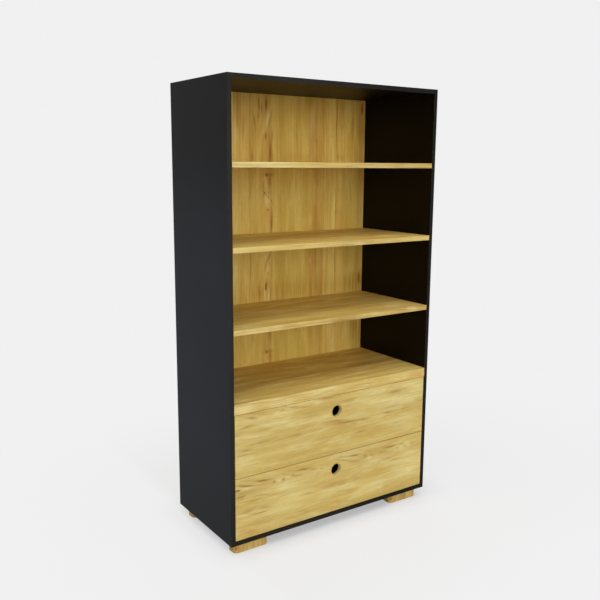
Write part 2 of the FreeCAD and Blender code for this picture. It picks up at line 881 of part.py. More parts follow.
def ball_cage(node, side, x, z, web, ball_centre, ball_height):
    """A cage with its two rows of balls."""
    body = runner_member(node + "_strip", side, cage_outline(web, ball_centre, ball_height),
                         "cage_length", x, "rail_front + cage_front", z)
    holes = new_sketch(body, "XY_Plane", "rail_half")
    balls = []
    for number in range(BALLS_IN_A_ROW):
        along = f"cage_end_margin + ball_row_length * {number / (BALLS_IN_A_ROW - 1)}"
        draw_circle(holes, f"{-side} * ({ball_centre})", along, "ball_diameter + 2 * ball_gap")
        for row in (-1, 1):
            ball = doc.addObject("Part::Sphere", "ball")
            bind(ball, Radius="ball_diameter / 2")
            place(ball, f"{x} - {side} * ({ball_centre})", f"rail_front + cage_front + {along}",
                  f"{z} + {row} * {ball_height}")
            balls.append(ball)
    pocket(body, holes, "runner_height")
    cage = doc.addObject("Part::Compound", node)
    cage.Links = [body] + balls
    return keep(node, cage)


def runners(drawer, foot, drilling):
    """Both runners of a drawer; gives the places of the rail screws and the slide screws."""
    rail_screws = []
    slide_screws = []
    z = f"{foot} + runner_centre"
    for side_name, side in SIDES.items():
        x = f"{side} * inner"
        outwards = X * side
        rail_node = f"{drawer}_rail_{side_name}"
        middle_node = f"{drawer}_runner_middle_{side_name}"
        slide_node = f"{drawer}_slide_{side_name}"
        rail = rail_with_stop(rail_node, side, x, z)
        rail_screws += screwed_member(rail_node, rail, x, foot, outwards,
                                      f"{side} * (inner - runner_sheet)", drilling,
                                      "side_panel_" + side_name)
        keep(middle_node, runner_member(middle_node, side, middle_outline(), "member_length",
                                        x, "rail_front", z))
        slide = runner_member(slide_node, side, slide_outline(), "member_length", x, "rail_front", z)
        slide_screws += screwed_member(slide_node, slide, f"{side} * box_outer", foot, -outwards,
                                       f"{side} * (box_outer + runner_sheet)", drilling,
                                       f"{drawer}_drawer_side_{side_name}")
        ball_cage(f"{drawer}_outer_cage_{side_name}", side, x, z, "outer_cage_web",
                  "outer_ball_centre", "(rail_race + middle_half) / 2")
        ball_cage(f"{drawer}_inner_cage_{side_name}", side, x, z, "inner_cage_web",
                  "inner_ball_centre", "(middle_race + slide_half) / 2")
    return rail_screws, slide_screws


# ---------------------------------------------------------------- drawers

def drawer_face(drawer, foot, drilling):
    """An inset face with a round finger hole near its top edge."""
    node = f"{drawer}_drawer_face"
    body = board(node, "XZ_Plane", ("-face_half_width", "0"), ("face_half_width", "face_height"),
                 "face_thickness")
    hole = new_sketch(body, "XZ_Plane", "-face_thickness")
    draw_circle(hole, "0", "finger_hole_centre", "finger_hole_diameter")
    pocket(body, hole, "face_thickness", backwards=True)
    centre_z = value("finger_hole_centre")

    def on_rim(middle, along):
        return close(middle.y, 0) and close(middle.x, 0) and close(middle.z, centre_z)

    def on_outline(middle, along):
        return close(middle.y, 0) and not on_rim(middle, along)
    soften(body, "Fillet", edges_where(body, on_outline), "edge_radius")
    soften(body, "Fillet", edges_where(body, on_rim), "finger_hole_round")
    place(body, y="front", z=foot)
    groove_half_width = "(box_inner + groove_depth)"
    groove = slot(f"-{groove_half_width}", "face_rear - groove_depth", f"{foot} + box_lift + groove_lift",
                  f"2 * {groove_half_width}", "groove_depth", "groove_height")
    drilled(node, body, drilling.cutters[node] + [groove])


def drawer_sides(drawer, foot, drilling):
    """Sides grooved for the bottom, with their upper edges rounded."""
    for side_name, side in SIDES.items():
        node = f"{drawer}_drawer_side_{side_name}"
        outer = f"{side} * box_outer"
        inner = f"{side} * box_inner"
        deep = f"{side} * (box_inner + groove_depth)"
        body = moulding(node, "XZ_Plane", [
            (outer, "0"),
            (outer, "box_height"),
            (inner, "box_height"),
            (inner, "box_back_lift"),
            (deep, "box_back_lift"),
            (deep, "groove_lift"),
            (inner, "groove_lift"),
            (inner, "0"),
        ], "box_length")
        height = value("box_height")

        def is_long_top_edge(middle, along):
            return close(middle.z, height) and not close(along.y, 0)
        soften(body, "Fillet", edges_where(body, is_long_top_edge), "box_edge_round")
        place(body, y="face_rear", z=f"{foot} + box_lift")
        drilled(node, body, drilling.cutters[node])


def drawer_back(drawer, foot, drilling):
    """The back of the box, between the sides and above the bottom."""
    node = f"{drawer}_drawer_back"
    body = board(node, "XZ_Plane", ("-box_inner", "box_back_lift"), ("box_inner", "box_height"),
                 "box_board_thickness")
    place(body, y="box_rear - box_board_thickness", z=f"{foot} + box_lift")
    drilled(node, body, drilling.cutters[node])


def drawer_bottom(drawer, foot):
    """The bottom sheet, in the grooves of the face and the sides and under the back."""
    node = f"{drawer}_drawer_bottom"
    body = board(node, "XY_Plane", ("-bottom_half_width", "face_rear - groove_depth + groove_gap"),
                 ("bottom_half_width", "box_rear"), "box_bottom_thickness")
    place(body, z=f"{foot} + box_lift + groove_lift")
    keep(node, body)


def drawer_cams(drawer, foot, drilling):
    """Cam locks in the sides, on bolts in the face."""
    locks = []
    bolts = []
    for side_name, side in SIDES.items():
        inwards = X * -side
        side_node = f"{drawer}_drawer_side_{side_name}"
        x = f"{side} * (box_inner + cam_axis_depth)"
        y_lock = "face_rear + cam_setback"
        for up in ("box_cam_inset", "box_height - box_cam_inset"):
            z = f"{foot} + box_lift + {up}"
            locks.append((f"{side} * box_inner", y_lock, z, axes(Y, inwards)))
            bolts.append((x, "face_rear", z, pointing(Y)))
            drilling.add([side_node], bore(f"{side} * box_inner", y_lock, z, -inwards,
                                           "cam_diameter", "cam_depth + end_gap"))
            drilling.add([side_node], bore(x, "face_rear", z, Y, "bolt_bore_diameter", "cam_setback"))
            drilling.add([f"{drawer}_drawer_face"], bore(x, "face_rear", z, -Y, "bolt_thread_diameter",
                                                         "bolt_thread_length + end_gap"))
    fasteners(f"{drawer}_drawer_cam_locks", cam_lock, locks)
    fasteners(f"{drawer}_drawer_cam_bolts", cam_bolt, bolts)


def drawer_back_screws(drawer, foot, drilling):
    """Screws through the sides into the ends of the back."""
    places = []
    y = "box_rear - box_board_thickness / 2"
    for side_name, side in SIDES.items():
        inwards = X * -side
        x = f"{side} * box_outer"
        for up in ("box_screw_inset", "box_height - box_screw_inset"):
            z = f"{foot} + box_lift + {up}"
            places.append((x, y, z, pointing(-inwards)))
            hole = bore(x, y, z, inwards, "box_screw_diameter", "box_screw_length + end_gap")
            head = countersink(x, y, z, inwards, "box_screw_head", "box_screw_diameter",
                               "box_screw_head_height")
            drilling.add([f"{drawer}_drawer_side_{side_name}", f"{drawer}_drawer_back"], hole)
            drilling.add([f"{drawer}_drawer_side_{side_name}"], head)
    fasteners(f"{drawer}_drawer_back_screws", box_screw, places)


def build_drawer(drawer, foot, drilling):
    """One drawer on its two runners; gives the places of the screws that hold the rails."""
    rail_screws, slide_screws = runners(drawer, foot, drilling)
    drawer_cams(drawer, foot, drilling)
    drawer_back_screws(drawer, foot, drilling)
    drawer_face(drawer, foot, drilling)
    drawer_sides(drawer, foot, drilling)
    drawer_back(drawer, foot, drilling)
    drawer_bottom(drawer, foot)
    fasteners(f"{drawer}_slide_screws", runner_screw, slide_screws)
    return rail_screws


# ---------------------------------------------------------------- assembly

cam_lock = cam_lock_master()
cam_bolt = cam_bolt_master()
runner_screw = screw_master("runner_screw", "runner_screw_diameter", "runner_screw_length",
                            "runner_screw_head", "runner_sheet")
box_screw = screw_master("box_screw", "box_screw_diameter", "box_screw_length",
                         "box_screw_head", "box_screw_head_height")


def build():
    drilling = Drilling()
    carcass_cams(drilling)
    carcass_dowels(drilling)
    back_nails(drilling)
    shelf_pins(drilling)
    feet(drilling)
    rail_screws = []
    for drawer, foot in DRAWERS.items():
        rail_screws += build_drawer(drawer, foot, drilling)
    fasteners("rail_screws", runner_screw, rail_screws)
    side_panels(drilling)
    end_panels(drilling)
    deck_panel(drilling)
    shelves()
    back_panel(drilling)
    doc.recompute()


def check():
    """Stop if any object failed to build or any sub-part isn't a sound solid."""
    for item in doc.Objects:
        if "Invalid" in item.State or "Error" in item.State:
            raise RuntimeError(f"{item.Label} failed: {item.State}")
    for name, thing in nodes.items():
        if thing.Shape.isNull() or not thing.Shape.isValid() or not thing.Shape.Solids:
            raise RuntimeError(f"{name} isn't a sound solid")


def export():
    os.makedirs("parts", exist_ok=True)
    for name, thing in nodes.items():
        thing.Shape.exportStep(f"parts/{name}.step")


build()
check()
export()
print(len(nodes), "sub-parts,", sum(len(thing.Shape.Solids) for thing in nodes.values()), "solids")
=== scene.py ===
"""A free-standing bookcase with two drawers, dressed around its packed frame.

Run as a script, it loads the frame, gives each piece its finish and sets the stage.
Lengths are in metres. X runs to the right, Y to the back and Z up, from the floor.
"""

import math

import bmesh
import bpy
from mathutils import Matrix, Vector


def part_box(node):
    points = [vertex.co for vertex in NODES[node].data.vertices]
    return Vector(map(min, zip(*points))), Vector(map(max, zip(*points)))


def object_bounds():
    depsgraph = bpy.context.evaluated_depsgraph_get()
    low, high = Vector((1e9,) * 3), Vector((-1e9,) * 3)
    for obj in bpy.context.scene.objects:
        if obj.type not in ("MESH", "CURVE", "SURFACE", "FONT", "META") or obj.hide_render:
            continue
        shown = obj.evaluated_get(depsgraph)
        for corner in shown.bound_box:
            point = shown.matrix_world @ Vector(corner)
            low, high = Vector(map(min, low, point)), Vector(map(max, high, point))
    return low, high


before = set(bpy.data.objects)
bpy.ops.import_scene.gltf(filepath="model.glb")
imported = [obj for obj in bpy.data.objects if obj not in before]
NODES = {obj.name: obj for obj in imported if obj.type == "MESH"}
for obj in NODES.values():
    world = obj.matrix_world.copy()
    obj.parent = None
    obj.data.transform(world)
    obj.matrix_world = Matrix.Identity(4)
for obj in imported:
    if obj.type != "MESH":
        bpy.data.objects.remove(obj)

bl_info = {
    "name": "Bookcase with drawers",
    "version": (1, 0, 0),
    "blender": (4, 5, 0),
    "location": "3D View > Sidebar > Bookcase",
    "description": "Finishes, floor, lamps and camera for a bookcase with bottom drawers",
    "category": "Object",
}

CAD_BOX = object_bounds()
MM = 0.001
HUNDREDTH = 0.01


def rgb(red, green, blue):
    """A screen colour, 0 to 255, as the linear colour that a shader takes."""
    def linear(value):
        value /= 255
        return value / 12.92 if value <= 0.04045 else ((value + 0.055) / 1.055) ** 2.4
    return tuple(linear(value) for value in (red, green, blue))


# ---------------- shader recipes


class Recipe:
    """Writes one material, or one node group, as a chain of nodes."""

    def __init__(self, tree):
        self.tree = tree

    @classmethod
    def material(cls, name):
        material = bpy.data.materials.new(name)
        material.use_nodes = True
        recipe = cls(material.node_tree)
        recipe.tree.nodes.clear()
        recipe.result = material
        recipe.shader = recipe.node("ShaderNodeBsdfPrincipled")
        recipe.surface = recipe.node("ShaderNodeOutputMaterial").inputs["Surface"]
        recipe.put(recipe.surface, recipe.shader.outputs[0])
        return recipe

    def node(self, kind, **settings):
        made = self.tree.nodes.new(kind)
        for name, value in settings.items():
            setattr(made, name, value)
        return made

    def put(self, socket, value):
        if isinstance(value, bpy.types.NodeSocket):
            self.tree.links.new(value, socket)
        elif getattr(socket, "type", "") == "RGBA" and len(value) == 3:
            socket.default_value = (*value, 1.0)
        else:
            socket.default_value = value

    def fill(self, sockets, values):
        for socket, value in zip(sockets, values):
            self.put(socket, value)

    def finish(self, **sockets):
        """Sets the surface shader's sockets, each by its name with _ for a space."""
        for name, value in sockets.items():
            self.put(self.shader.inputs[name.replace("_", " ")], value)
        return self.result

    def math(self, operation, *values):
        made = self.node("ShaderNodeMath", operation=operation)
        self.fill(made.inputs, values)
        return made.outputs[0]

    def fold(self, operation, *values):
        """One operation on all the values in turn."""
        total = values[0]
        for value in values[1:]:
            total = self.math(operation, total, value)
        return total

    def add(self, *values):
        return self.fold("ADD", *values)

    def times(self, *values):
        return self.fold("MULTIPLY", *values)

    def minus(self, first, second):
        return self.math("SUBTRACT", first, second)

    def over(self, first, second):
        return self.math("DIVIDE", first, second)

    def lowest(self, *values):
        return self.fold("MINIMUM", *values)

    def highest(self, *values):
        return self.fold("MAXIMUM", *values)

    def point(self, x, y, z=0.0):
        made = self.node("ShaderNodeCombineXYZ")
        self.fill(made.inputs, (x, y, z))
        return made.outputs[0]

    def parts(self, vector):
        made = self.node("ShaderNodeSeparateXYZ")
        self.put(made.inputs[0], vector)
        return list(made.outputs)

    def place(self):
        """The three coordinates of a point on the piece."""
        return self.parts(self.node("ShaderNodeTexCoord").outputs["Object"])

    def scaled(self, parts, *paces):
        """A point whose parts are each times their pace, or all times the only one."""
        paces = paces if len(paces) == 3 else paces * 3
        return self.point(*(self.times(part, pace) for part, pace in zip(parts, paces)))

    def noise(self, vector, detail=2.0, distortion=0.0):
        made = self.node("ShaderNodeTexNoise")
        made.inputs["Scale"].default_value = 1.0
        made.inputs["Detail"].default_value = detail
        made.inputs["Distortion"].default_value = distortion
        self.put(made.inputs["Vector"], vector)
        return made.outputs["Fac"]

    def cells(self, vector, feature="F1", colour=False):
        made = self.node("ShaderNodeTexVoronoi", feature=feature)
        made.inputs["Scale"].default_value = 1.0
        self.put(made.inputs["Vector"], vector)
        return made.outputs["Color" if colour else "Distance"]

    def span(self, value, low, high, first=0.0, last=1.0, smooth=True):
        """value from low to high, drawn as first to last and held beyond them."""
        made = self.node(
            "ShaderNodeMapRange",
            interpolation_type="SMOOTHSTEP" if smooth else "LINEAR",
        )
        self.fill(made.inputs, (value, low, high, first, last))
        return made.outputs[0]

    def mix(self, share, first, second, blend="MIX"):
        made = self.node("ShaderNodeMix", data_type="RGBA", blend_type=blend)
        self.put(made.inputs[0], share)
        self.put(made.inputs[6], first)
        self.put(made.inputs[7], second)
        return made.outputs[2]

    def tinted(self, colour, tint):
        return self.mix(1.0, colour, tint, "MULTIPLY")

    def shaded(self, colour, shade):
        return self.tinted(colour, self.point(shade, shade, shade))

    def ramp(self, value, stops):
        made = self.node("ShaderNodeValToRGB")
        elements = made.color_ramp.elements
        while len(elements) < len(stops):
            elements.new(1.0)
        for element, (position, colour) in zip(elements, stops):
            element.position = position
            element.color = (*colour, 1.0)
        self.put(made.inputs[0], value)
        return made.outputs["Color"]

    def bump(self, height, depth, strength=1.0):
        """Raises the surface by height, 0 to 1, times depth in metres."""
        made = self.node("ShaderNodeBump")
        self.put(made.inputs["Strength"], strength)
        self.put(made.inputs["Distance"], depth)
        self.put(made.inputs["Height"], height)
        return made.outputs["Normal"]

    def blend(self, share, first, second):
        """One surface that is share second and the rest first."""
        made = self.node("ShaderNodeMixShader")
        self.fill(made.inputs, (share, first, second))
        return made.outputs[0]

    def group(self, tree, *values):
        made = self.node("ShaderNodeGroup")
        made.node_tree = tree
        self.fill(made.inputs, values)
        return list(made.outputs)

    def seen(self):
        """1 where the camera, a gloss or a glass looks, and 0 for light on its way."""
        rays = self.node("ShaderNodeLightPath").outputs
        return self.highest(
            rays["Is Camera Ray"], rays["Is Glossy Ray"], rays["Is Transmission Ray"])

    def faces(self, box):
        """How far a point lies inside a board's box: from its nearest face, and from
        its nearest edge."""
        low, high = box
        centre, half = (low + high) / 2, (high - low) / 2
        depths = [
            self.minus(half[i], self.math("ABSOLUTE", self.minus(part, centre[i])))
            for i, part in enumerate(self.place())
        ]
        nearest, furthest = self.lowest(*depths), self.highest(*depths)
        return nearest, self.minus(self.add(*depths), self.add(nearest, furthest))


def new_group(name, inputs, outputs):
    """An empty node group with number sockets, as (recipe, input sockets, close)."""
    tree = bpy.data.node_groups.new(name, "ShaderNodeTree")
    for way, names in (("INPUT", inputs), ("OUTPUT", outputs)):
        for socket in names:
            tree.interface.new_socket(socket, in_out=way, socket_type="NodeSocketFloat")
    recipe = Recipe(tree)
    source = recipe.node("NodeGroupInput")
    sink = recipe.node("NodeGroupOutput")

    def close(*values):
        recipe.fill(sink.inputs, values)
        return tree

    return recipe, list(source.outputs)[: len(inputs)], close


def streak_group():
    """One soft stroke along the grain: straight, slanted or bowed."""
    r, (along, across, at, side, length, width, slope, bow), close = new_group(
        "wood_streak",
        ["Along", "Across", "At", "Side", "Length", "Width", "Slope", "Bow"],
        ["Stroke"],
    )
    run = r.minus(along, at)
    rise = r.add(r.times(run, slope), r.times(run, run, bow))
    off = r.over(r.minus(r.minus(across, side), rise), width)
    run = r.over(run, length)
    reach = r.add(r.times(run, run), r.times(off, off))
    return close(r.math("EXPONENT", r.times(reach, -1.0)))


def knot_group():
    """One knot: its dark core, its halo, and how far it pushes the rings aside."""
    r, (along, across, at, side, length, width), close = new_group(
        "wood_knot",
        ["Along", "Across", "At", "Side", "Length", "Width"],
        ["Core", "Halo", "Push"],
    )
    run = r.over(r.minus(along, at), length)
    off = r.over(r.minus(across, side), width)
    reach = r.math("SQRT", r.add(r.times(run, run), r.times(off, off)))
    fade = r.math("EXPONENT", r.times(reach, reach, -0.35))
    push = r.times(fade, off, width, -0.55)
    core = r.span(reach, 0.35, 1.05, 1.0, 0.0)
    halo = r.math("EXPONENT", r.times(reach, reach, -0.45))
    return close(core, halo, push)


SHARED = {}


def shared(maker):
    """A node group that many materials use, made once."""
    if maker not in SHARED:
        SHARED[maker] = maker()
    return SHARED[maker]


# ---------------- pine


def staved(r, colour, line, span, staves):
    """Tints the staves that a board is glued up from, each from its own edge onwards."""
    low, high = span
    joint = 0.0035  # how soft the line between two staves is, as a share of the board
    stops = []
    for edge, tint in staves:
        at = (edge - low) / (high - low)
        if stops:
            stops.append((max(0.0, at - joint), stops[-1][1]))
        stops.append((max(0.0, min(1.0, at)), tint))
    return r.tinted(colour, r.ramp(r.over(r.minus(line, low), high - low), stops))


def hardboard(r, along, across):
    """The bare brown fibre on the back of a thin board."""
    def flat(pull, fine, layer, **settings):
        return r.noise(r.point(r.times(along, pull), r.times(across, fine), layer), **settings)

    felt = flat(340.0, 340.0, 7.0, detail=3.0)
    cloud = flat(6.0, 6.0, 3.0, detail=4.0)
    chips = flat(150.0, 230.0, 5.0, distortion=1.5)
    shives = flat(60.0, 420.0, 9.0, distortion=1.0)
    bare = r.mix(r.span(felt, 0.35, 0.65), rgb(132, 96, 62), rgb(160, 122, 82))
    bare = r.mix(r.span(cloud, 0.36, 0.64, 0.0, 0.22), bare, rgb(178, 142, 100))
    bare = r.mix(r.span(chips, 0.58, 0.70, 0.0, 0.50), bare, rgb(100, 69, 42))
    return r.mix(r.span(shives, 0.58, 0.72, 0.0, 0.60), bare, rgb(200, 168, 124))


def pine(node, axes, figure, chosen):
    """A board's pine finish. axes names its axes along, across and through the grain, and
    figure holds what is particular to it: the heart of its rings, as the place across the
    board, the depth and the tilt; how many rings fill a metre; the shares in which rings,
    patches and the rest show; its tone, and the painted light and shade that shift it along one
    axis."""
    r = Recipe.material("pine_" + node)
    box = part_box(node)
    kinds = ("light", "cream", "gold", "dark", "warm", "brown")
    wood = {kind: getattr(chosen, kind) for kind in kinds}
    place = dict(zip("XYZ", r.place()))
    along, across, through = (place[axis] for axis in axes)
    shift = figure.get("shift", 0.0)
    moved = r.add(along, shift)
    marks = dict(figure.get("marks") or MARKS[node])

    def grain(run, cross, pull, fine, **settings):
        """Noise at one pace along the grain, and at another across and through it."""
        return r.noise(r.scaled((run, cross, through), pull, fine, fine), **settings)

    # the grain wanders slowly, and bends round each knot
    wander = grain(moved, across, 2.2, 7.0, detail=1.5)
    ripple = grain(moved, across, 11.0, 36.0, detail=1.0)
    drift = r.add(r.times(r.minus(wander, 0.5), figure.get("wander", 0.030)),
                  r.times(r.minus(ripple, 0.5), 0.0045))
    line = r.add(across, drift)
    cores, halos = [], []
    for *knot, weight in marks.pop("knots", ()):
        sizes = (size * MM for size in knot)
        core, halo, push = r.group(shared(knot_group), along, across, *sizes)
        cores.append(r.times(core, weight * HUNDREDTH))
        halos.append(r.times(halo, weight * HUNDREDTH))
        line = r.add(line, push)

    # growth rings, cut flat near the heart and on edge away from it
    heart, depth, tilt = figure["heart"]
    side = r.minus(line, heart)
    level = r.add(r.times(moved, tilt), r.add(through, depth))
    radius = r.math("SQRT", r.add(r.times(side, side), r.times(level, level)))
    uneven = r.noise(r.point(r.times(along, 1.5), r.times(radius, 40.0), shift))
    count = r.add(r.times(radius, figure["rings"]), r.times(uneven, 2.0))
    turn = r.math("FRACT", count)
    ring = r.times(r.span(turn, 0.30, 0.86), r.span(turn, 0.90, 1.0, 1.0, 0.0))
    figured = r.noise(r.point(r.times(moved, 1.6), r.times(line, 12.0), 3.0))
    ring = r.times(ring, r.span(figured, 0.40, 0.62, 0.25, 1.0))

    # broad bands, streaks and fine fibre
    band = r.span(grain(moved, line, 2.6, 26.0, detail=3.0), 0.36, 0.64)
    warmth = r.span(grain(moved, line, 2.0, 17.0), 0.46, 0.68)
    mottle = grain(moved, line, 7.0, 32.0)
    curl = grain(moved, line, 34.0, 150.0, detail=1.5, distortion=0.6)
    streak = grain(moved, line, 7.0, 190.0)
    fibre = grain(along, line, 45.0, 1500.0)
    fleck = r.span(grain(along, line, 60.0, 900.0, detail=0.0), 0.70, 0.80)

    colour = r.mix(r.times(band, 0.75), wood["light"], wood["gold"])
    colour = r.mix(r.times(warmth, figure.get("warmth", 0.18)), colour, wood["warm"])
    patches = figure.get("patches", 0.5)
    colour = r.mix(r.span(mottle, 0.50, 0.68, 0.0, patches), colour, wood["cream"])
    colour = r.mix(r.span(mottle, 0.46, 0.28, 0.0, patches * 0.25), colour, wood["dark"])
    if "staves" in figure:
        which = "XYZ".index(axes[1])
        colour = staved(r, colour, line, (box[0][which], box[1][which]), figure["staves"])
    colour = r.mix(r.times(ring, figure["contrast"]), colour, wood["dark"])
    fine = figure.get("fine", 1.0)
    colour = r.mix(r.span(streak, 0.56, 0.74, 0.0, 0.38 * fine), colour, wood["dark"])
    colour = r.mix(r.span(streak, 0.44, 0.26, 0.0, 0.30 * fine), colour, wood["light"])

    # single strokes, which break up along the grain
    press = figure.get("press", 1.0)
    bent = r.add(across, r.times(r.minus(ripple, 0.5), 0.010))
    for kind, strokes in marks.items():
        laid = []
        for at, aside, length, width, weight, *curve in strokes:
            sizes = (size * MM for size in (at, aside, length, width))
            slope, bow = (share * HUNDREDTH for share in (*curve, 0, 0)[:2])
            mark, = r.group(shared(streak_group), along, bent, *sizes, slope, bow)
            laid.append(r.times(mark, weight * HUNDREDTH * press))
        grip = (0.34, 0.60) if kind in ("dark", "brown", "warm") else (0.66, 0.40)
        total = r.times(r.add(*laid), r.span(streak, *grip, 0.45, 1.30))
        colour = r.mix(r.lowest(total, 0.95), colour, wood[kind])
    if cores:
        ringed = r.lowest(r.times(r.add(*halos), 0.24), 0.5)
        colour = r.mix(ringed, colour, wood["brown"])
        colour = r.mix(r.highest(*cores), colour, wood["brown"])

    # the fibre's tone; painted highlight: paler edges, standing in for light caught on the
    # arrises; and the board's own tone
    near, edge = r.faces(box)
    rim_width = 1.8 * MM
    shade = r.add(0.95, r.times(fibre, 0.10), r.times(r.minus(curl, 0.5), figure["curl"]))
    shade = r.minus(shade, r.times(fleck, 0.16))
    rim = r.span(edge, 0.0, rim_width, 1.0, 0.0)
    shade = r.add(shade, r.times(rim, figure.get("rim", 0.06)))
    colour = r.shaded(colour, shade)
    tone = figure["tone"]
    if "fade" in figure:
        # painted light and shade: the tone changes along one axis, standing in for how the lamps
        # light each part of the board
        axis, start, end, other = figure["fade"]
        tone = r.mix(r.span(place[axis], start, end, smooth=False), tone, other)
    colour = r.tinted(colour, tone)
    if figure.get("bored"):
        # painted light: the wall of a finger hole is painted pale, standing in for the light on it
        wall = r.span(near, 0.6 * MM, 2.0 * MM, 0.0, 0.85)
        colour = r.mix(wall, colour, chosen.bored)
    if "reverse" in figure:
        colour = r.mix(r.span(through, *figure["reverse"]), colour, hardboard(r, along, across))

    relief = r.add(r.times(ring, 0.45), r.times(fibre, 0.5), r.times(fleck, -0.5))
    rough = r.add(0.50, r.times(fibre, 0.14), r.times(ring, -0.08),
                  r.times(r.minus(band, 0.5), 0.05))
    return r.finish(
        Base_Color=colour, Roughness=rough, Normal=r.bump(relief, chosen.relief, 0.6),
        Specular_IOR_Level=0.35,
    )


# ---------------- other finishes


def black_board(node, chosen):
    """Charcoal-black faced board: a fine embossed skin, and raw chipboard in its bores."""
    r = Recipe.material("black_" + node)
    place = x, y, z = r.place()
    cloud = r.noise(r.scaled(place, 3.0))
    grain = r.noise(r.scaled(place, 900.0))
    pebble = r.cells(r.scaled(place, 650.0), "SMOOTH_F1")
    speck = r.span(r.noise(r.scaled(place, 420.0), detail=0.0), 0.72, 0.80)
    near, edge = r.faces(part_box(node))
    worn = r.times(r.span(edge, 0.4 * MM, max(0.5 * MM, chosen.wear), 1.0, 0.0),
                   r.span(r.noise(r.scaled(place, 60.0), detail=3.0), 0.45, 0.70))

    # the front edges have a band; painted shade: the faces inside are darker and warmer than those
    # outside, standing in for the shade and the warm bounced light inside the carcass
    least, most = CAD_BOX
    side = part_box("side_panel_right")
    wall, skin_depth = side[1].x - side[0].x, 0.3 * MM
    band = r.span(y, least.y + skin_depth, least.y + 2 * skin_depth, 1.0, 0.0)
    within = [(end - wall + skin_depth, end - wall + skin_depth + 0.2 * MM)
              for end in (most.x, most.z)]
    inner = r.span(r.math("ABSOLUTE", x), *within[0], 1.0, 0.0)
    inner = r.times(inner, r.minus(1.0, band))
    inner = r.times(inner, r.span(z, *within[1], 1.0, 0.0))

    # painted reflection: the outer faces take a paler, cooler sheen, most of all halfway up
    painted_sheen = r.times(r.span(z, most.z - 0.15, most.z - 0.65), r.span(z, 0.0, 0.45, 0.45, 1.0))
    skin = r.mix(painted_sheen, chosen.skin, chosen.painted_sheen)
    # painted shade: the front edge band darkens to the right and downwards
    shadow = r.span(x, -0.30, 0.30, 1.0, 0.34)
    shadow = r.times(shadow, r.span(z, least.z + 0.05, least.z + 0.40, 0.72, 1.0))
    # painted warm light: the band is browner at its foot, beside the pine
    foot = r.span(z, least.z + 0.056, least.z + 0.070, 1.0, 0.0)
    lip = r.shaded(chosen.edge, shadow)
    lip = r.mix(foot, lip, r.tinted(lip, (1.10, 0.82, 0.50)))
    skin = r.mix(band, skin, lip)
    # painted shade on the faces inside the carcass
    skin = r.mix(inner, skin, chosen.inner)
    skin = r.shaded(skin, r.add(0.86, r.times(r.span(cloud, 0.30, 0.70), 0.28)))
    skin = r.mix(r.times(speck, 0.5), skin, rgb(36, 35, 34))
    skin = r.mix(r.times(worn, 0.55), skin, chosen.worn)

    chip = r.cells(r.scaled(place, 520.0), colour=True)
    raw = chosen.core
    core = r.mix(grain, r.tinted(raw, rgb(224, 218, 206)), raw)
    core = r.mix(0.35, core, chip, "SOFT_LIGHT")
    inside = r.span(near, 0.5 * MM, 0.8 * MM)
    relief = r.add(r.times(pebble, 0.7), r.times(grain, 0.3), r.times(inside, grain, 2.0))
    rough = r.add(0.57, r.times(inner, -0.18), r.times(grain, 0.10),
                  r.times(r.minus(cloud, 0.5), 0.10), r.times(worn, -0.08),
                  r.times(inside, 0.30))
    return r.finish(
        Base_Color=r.mix(inside, skin, core), Roughness=rough,
        Normal=r.bump(relief, 0.1 * MM, 0.35), Specular_IOR_Level=0.10,
    )


def birch(node, axes, plies, chosen):
    """Birch plywood: a pale face with fine silky grain, and its plies on every edge."""
    r = Recipe.material("birch_" + node)
    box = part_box(node)
    place = dict(zip("XYZ", r.place()))
    along, across, through = spot = [place[axis] for axis in axes]
    which = "XYZ".index(axes[2])
    low, high = box[0][which], box[1][which]
    layer = r.times(r.over(r.minus(through, low), high - low), float(plies))
    layer = r.lowest(r.highest(layer, 0.25), plies - 0.25)
    glue = r.math("ABSOLUTE", r.minus(r.math("FRACT", r.add(layer, 0.5)), 0.5))
    glue = r.span(glue, 0.03, 0.10, 1.0, 0.0)
    turned = r.math("FLOOR", r.math("MODULO", layer, 2.0))
    cloud = r.noise(r.point(r.times(along, 5.0), r.times(across, 22.0), layer), detail=3.0)
    silk = r.noise(r.scaled(spot, 16.0, 420.0, 420.0))
    fibre = r.noise(r.scaled(spot, 70.0, 1700.0, 900.0), detail=1.0)
    fleck = r.noise(r.point(r.times(along, 130.0), r.times(across, 620.0), 4.0), detail=0.0)
    fleck = r.span(fleck, 0.71, 0.80)
    colour = r.mix(r.span(cloud, 0.34, 0.66), chosen.face, chosen.shade)
    colour = r.mix(r.span(silk, 0.50, 0.75, 0.0, 0.45), colour, rgb(184, 146, 94))
    colour = r.mix(r.times(fleck, 0.35), colour, rgb(150, 108, 62))
    end = chosen.end
    end = r.mix(r.span(fibre, 0.3, 0.7), r.tinted(end, rgb(232, 226, 218)), end)
    colour = r.mix(r.times(turned, 0.75), colour, end)
    colour = r.mix(r.times(glue, 0.6), colour, rgb(120, 84, 48))
    colour = r.shaded(colour, r.add(0.95, r.times(fibre, 0.10)))
    relief = r.add(r.times(fibre, 0.5), r.times(silk, 0.4), r.times(glue, -0.6))
    rough = r.add(0.46, r.times(silk, 0.16), r.times(turned, 0.10))
    return r.finish(
        Base_Color=colour, Roughness=rough, Normal=r.bump(relief, 0.1 * MM, 0.5),
        Specular_IOR_Level=0.4,
    )


def beech(chosen):
    """Beech dowel rod: pinkish, with short dark flecks."""
    r = Recipe.material("beech_rod")
    place = r.place()
    line = r.noise(r.scaled(place, 60.0, 900.0, 900.0))
    fleck = r.span(r.noise(r.scaled(place, 260.0, 1500.0, 1500.0), detail=0.0), 0.66, 0.76)
    colour = r.mix(line, chosen.dowel, rgb(188, 140, 96))
    colour = r.mix(r.times(fleck, 0.5), colour, rgb(138, 92, 58))
    return r.finish(
        Base_Color=colour, Roughness=r.add(0.5, r.times(line, 0.15)),
        Normal=r.bump(line, 0.1 * MM, 0.5), Specular_IOR_Level=0.4,
    )


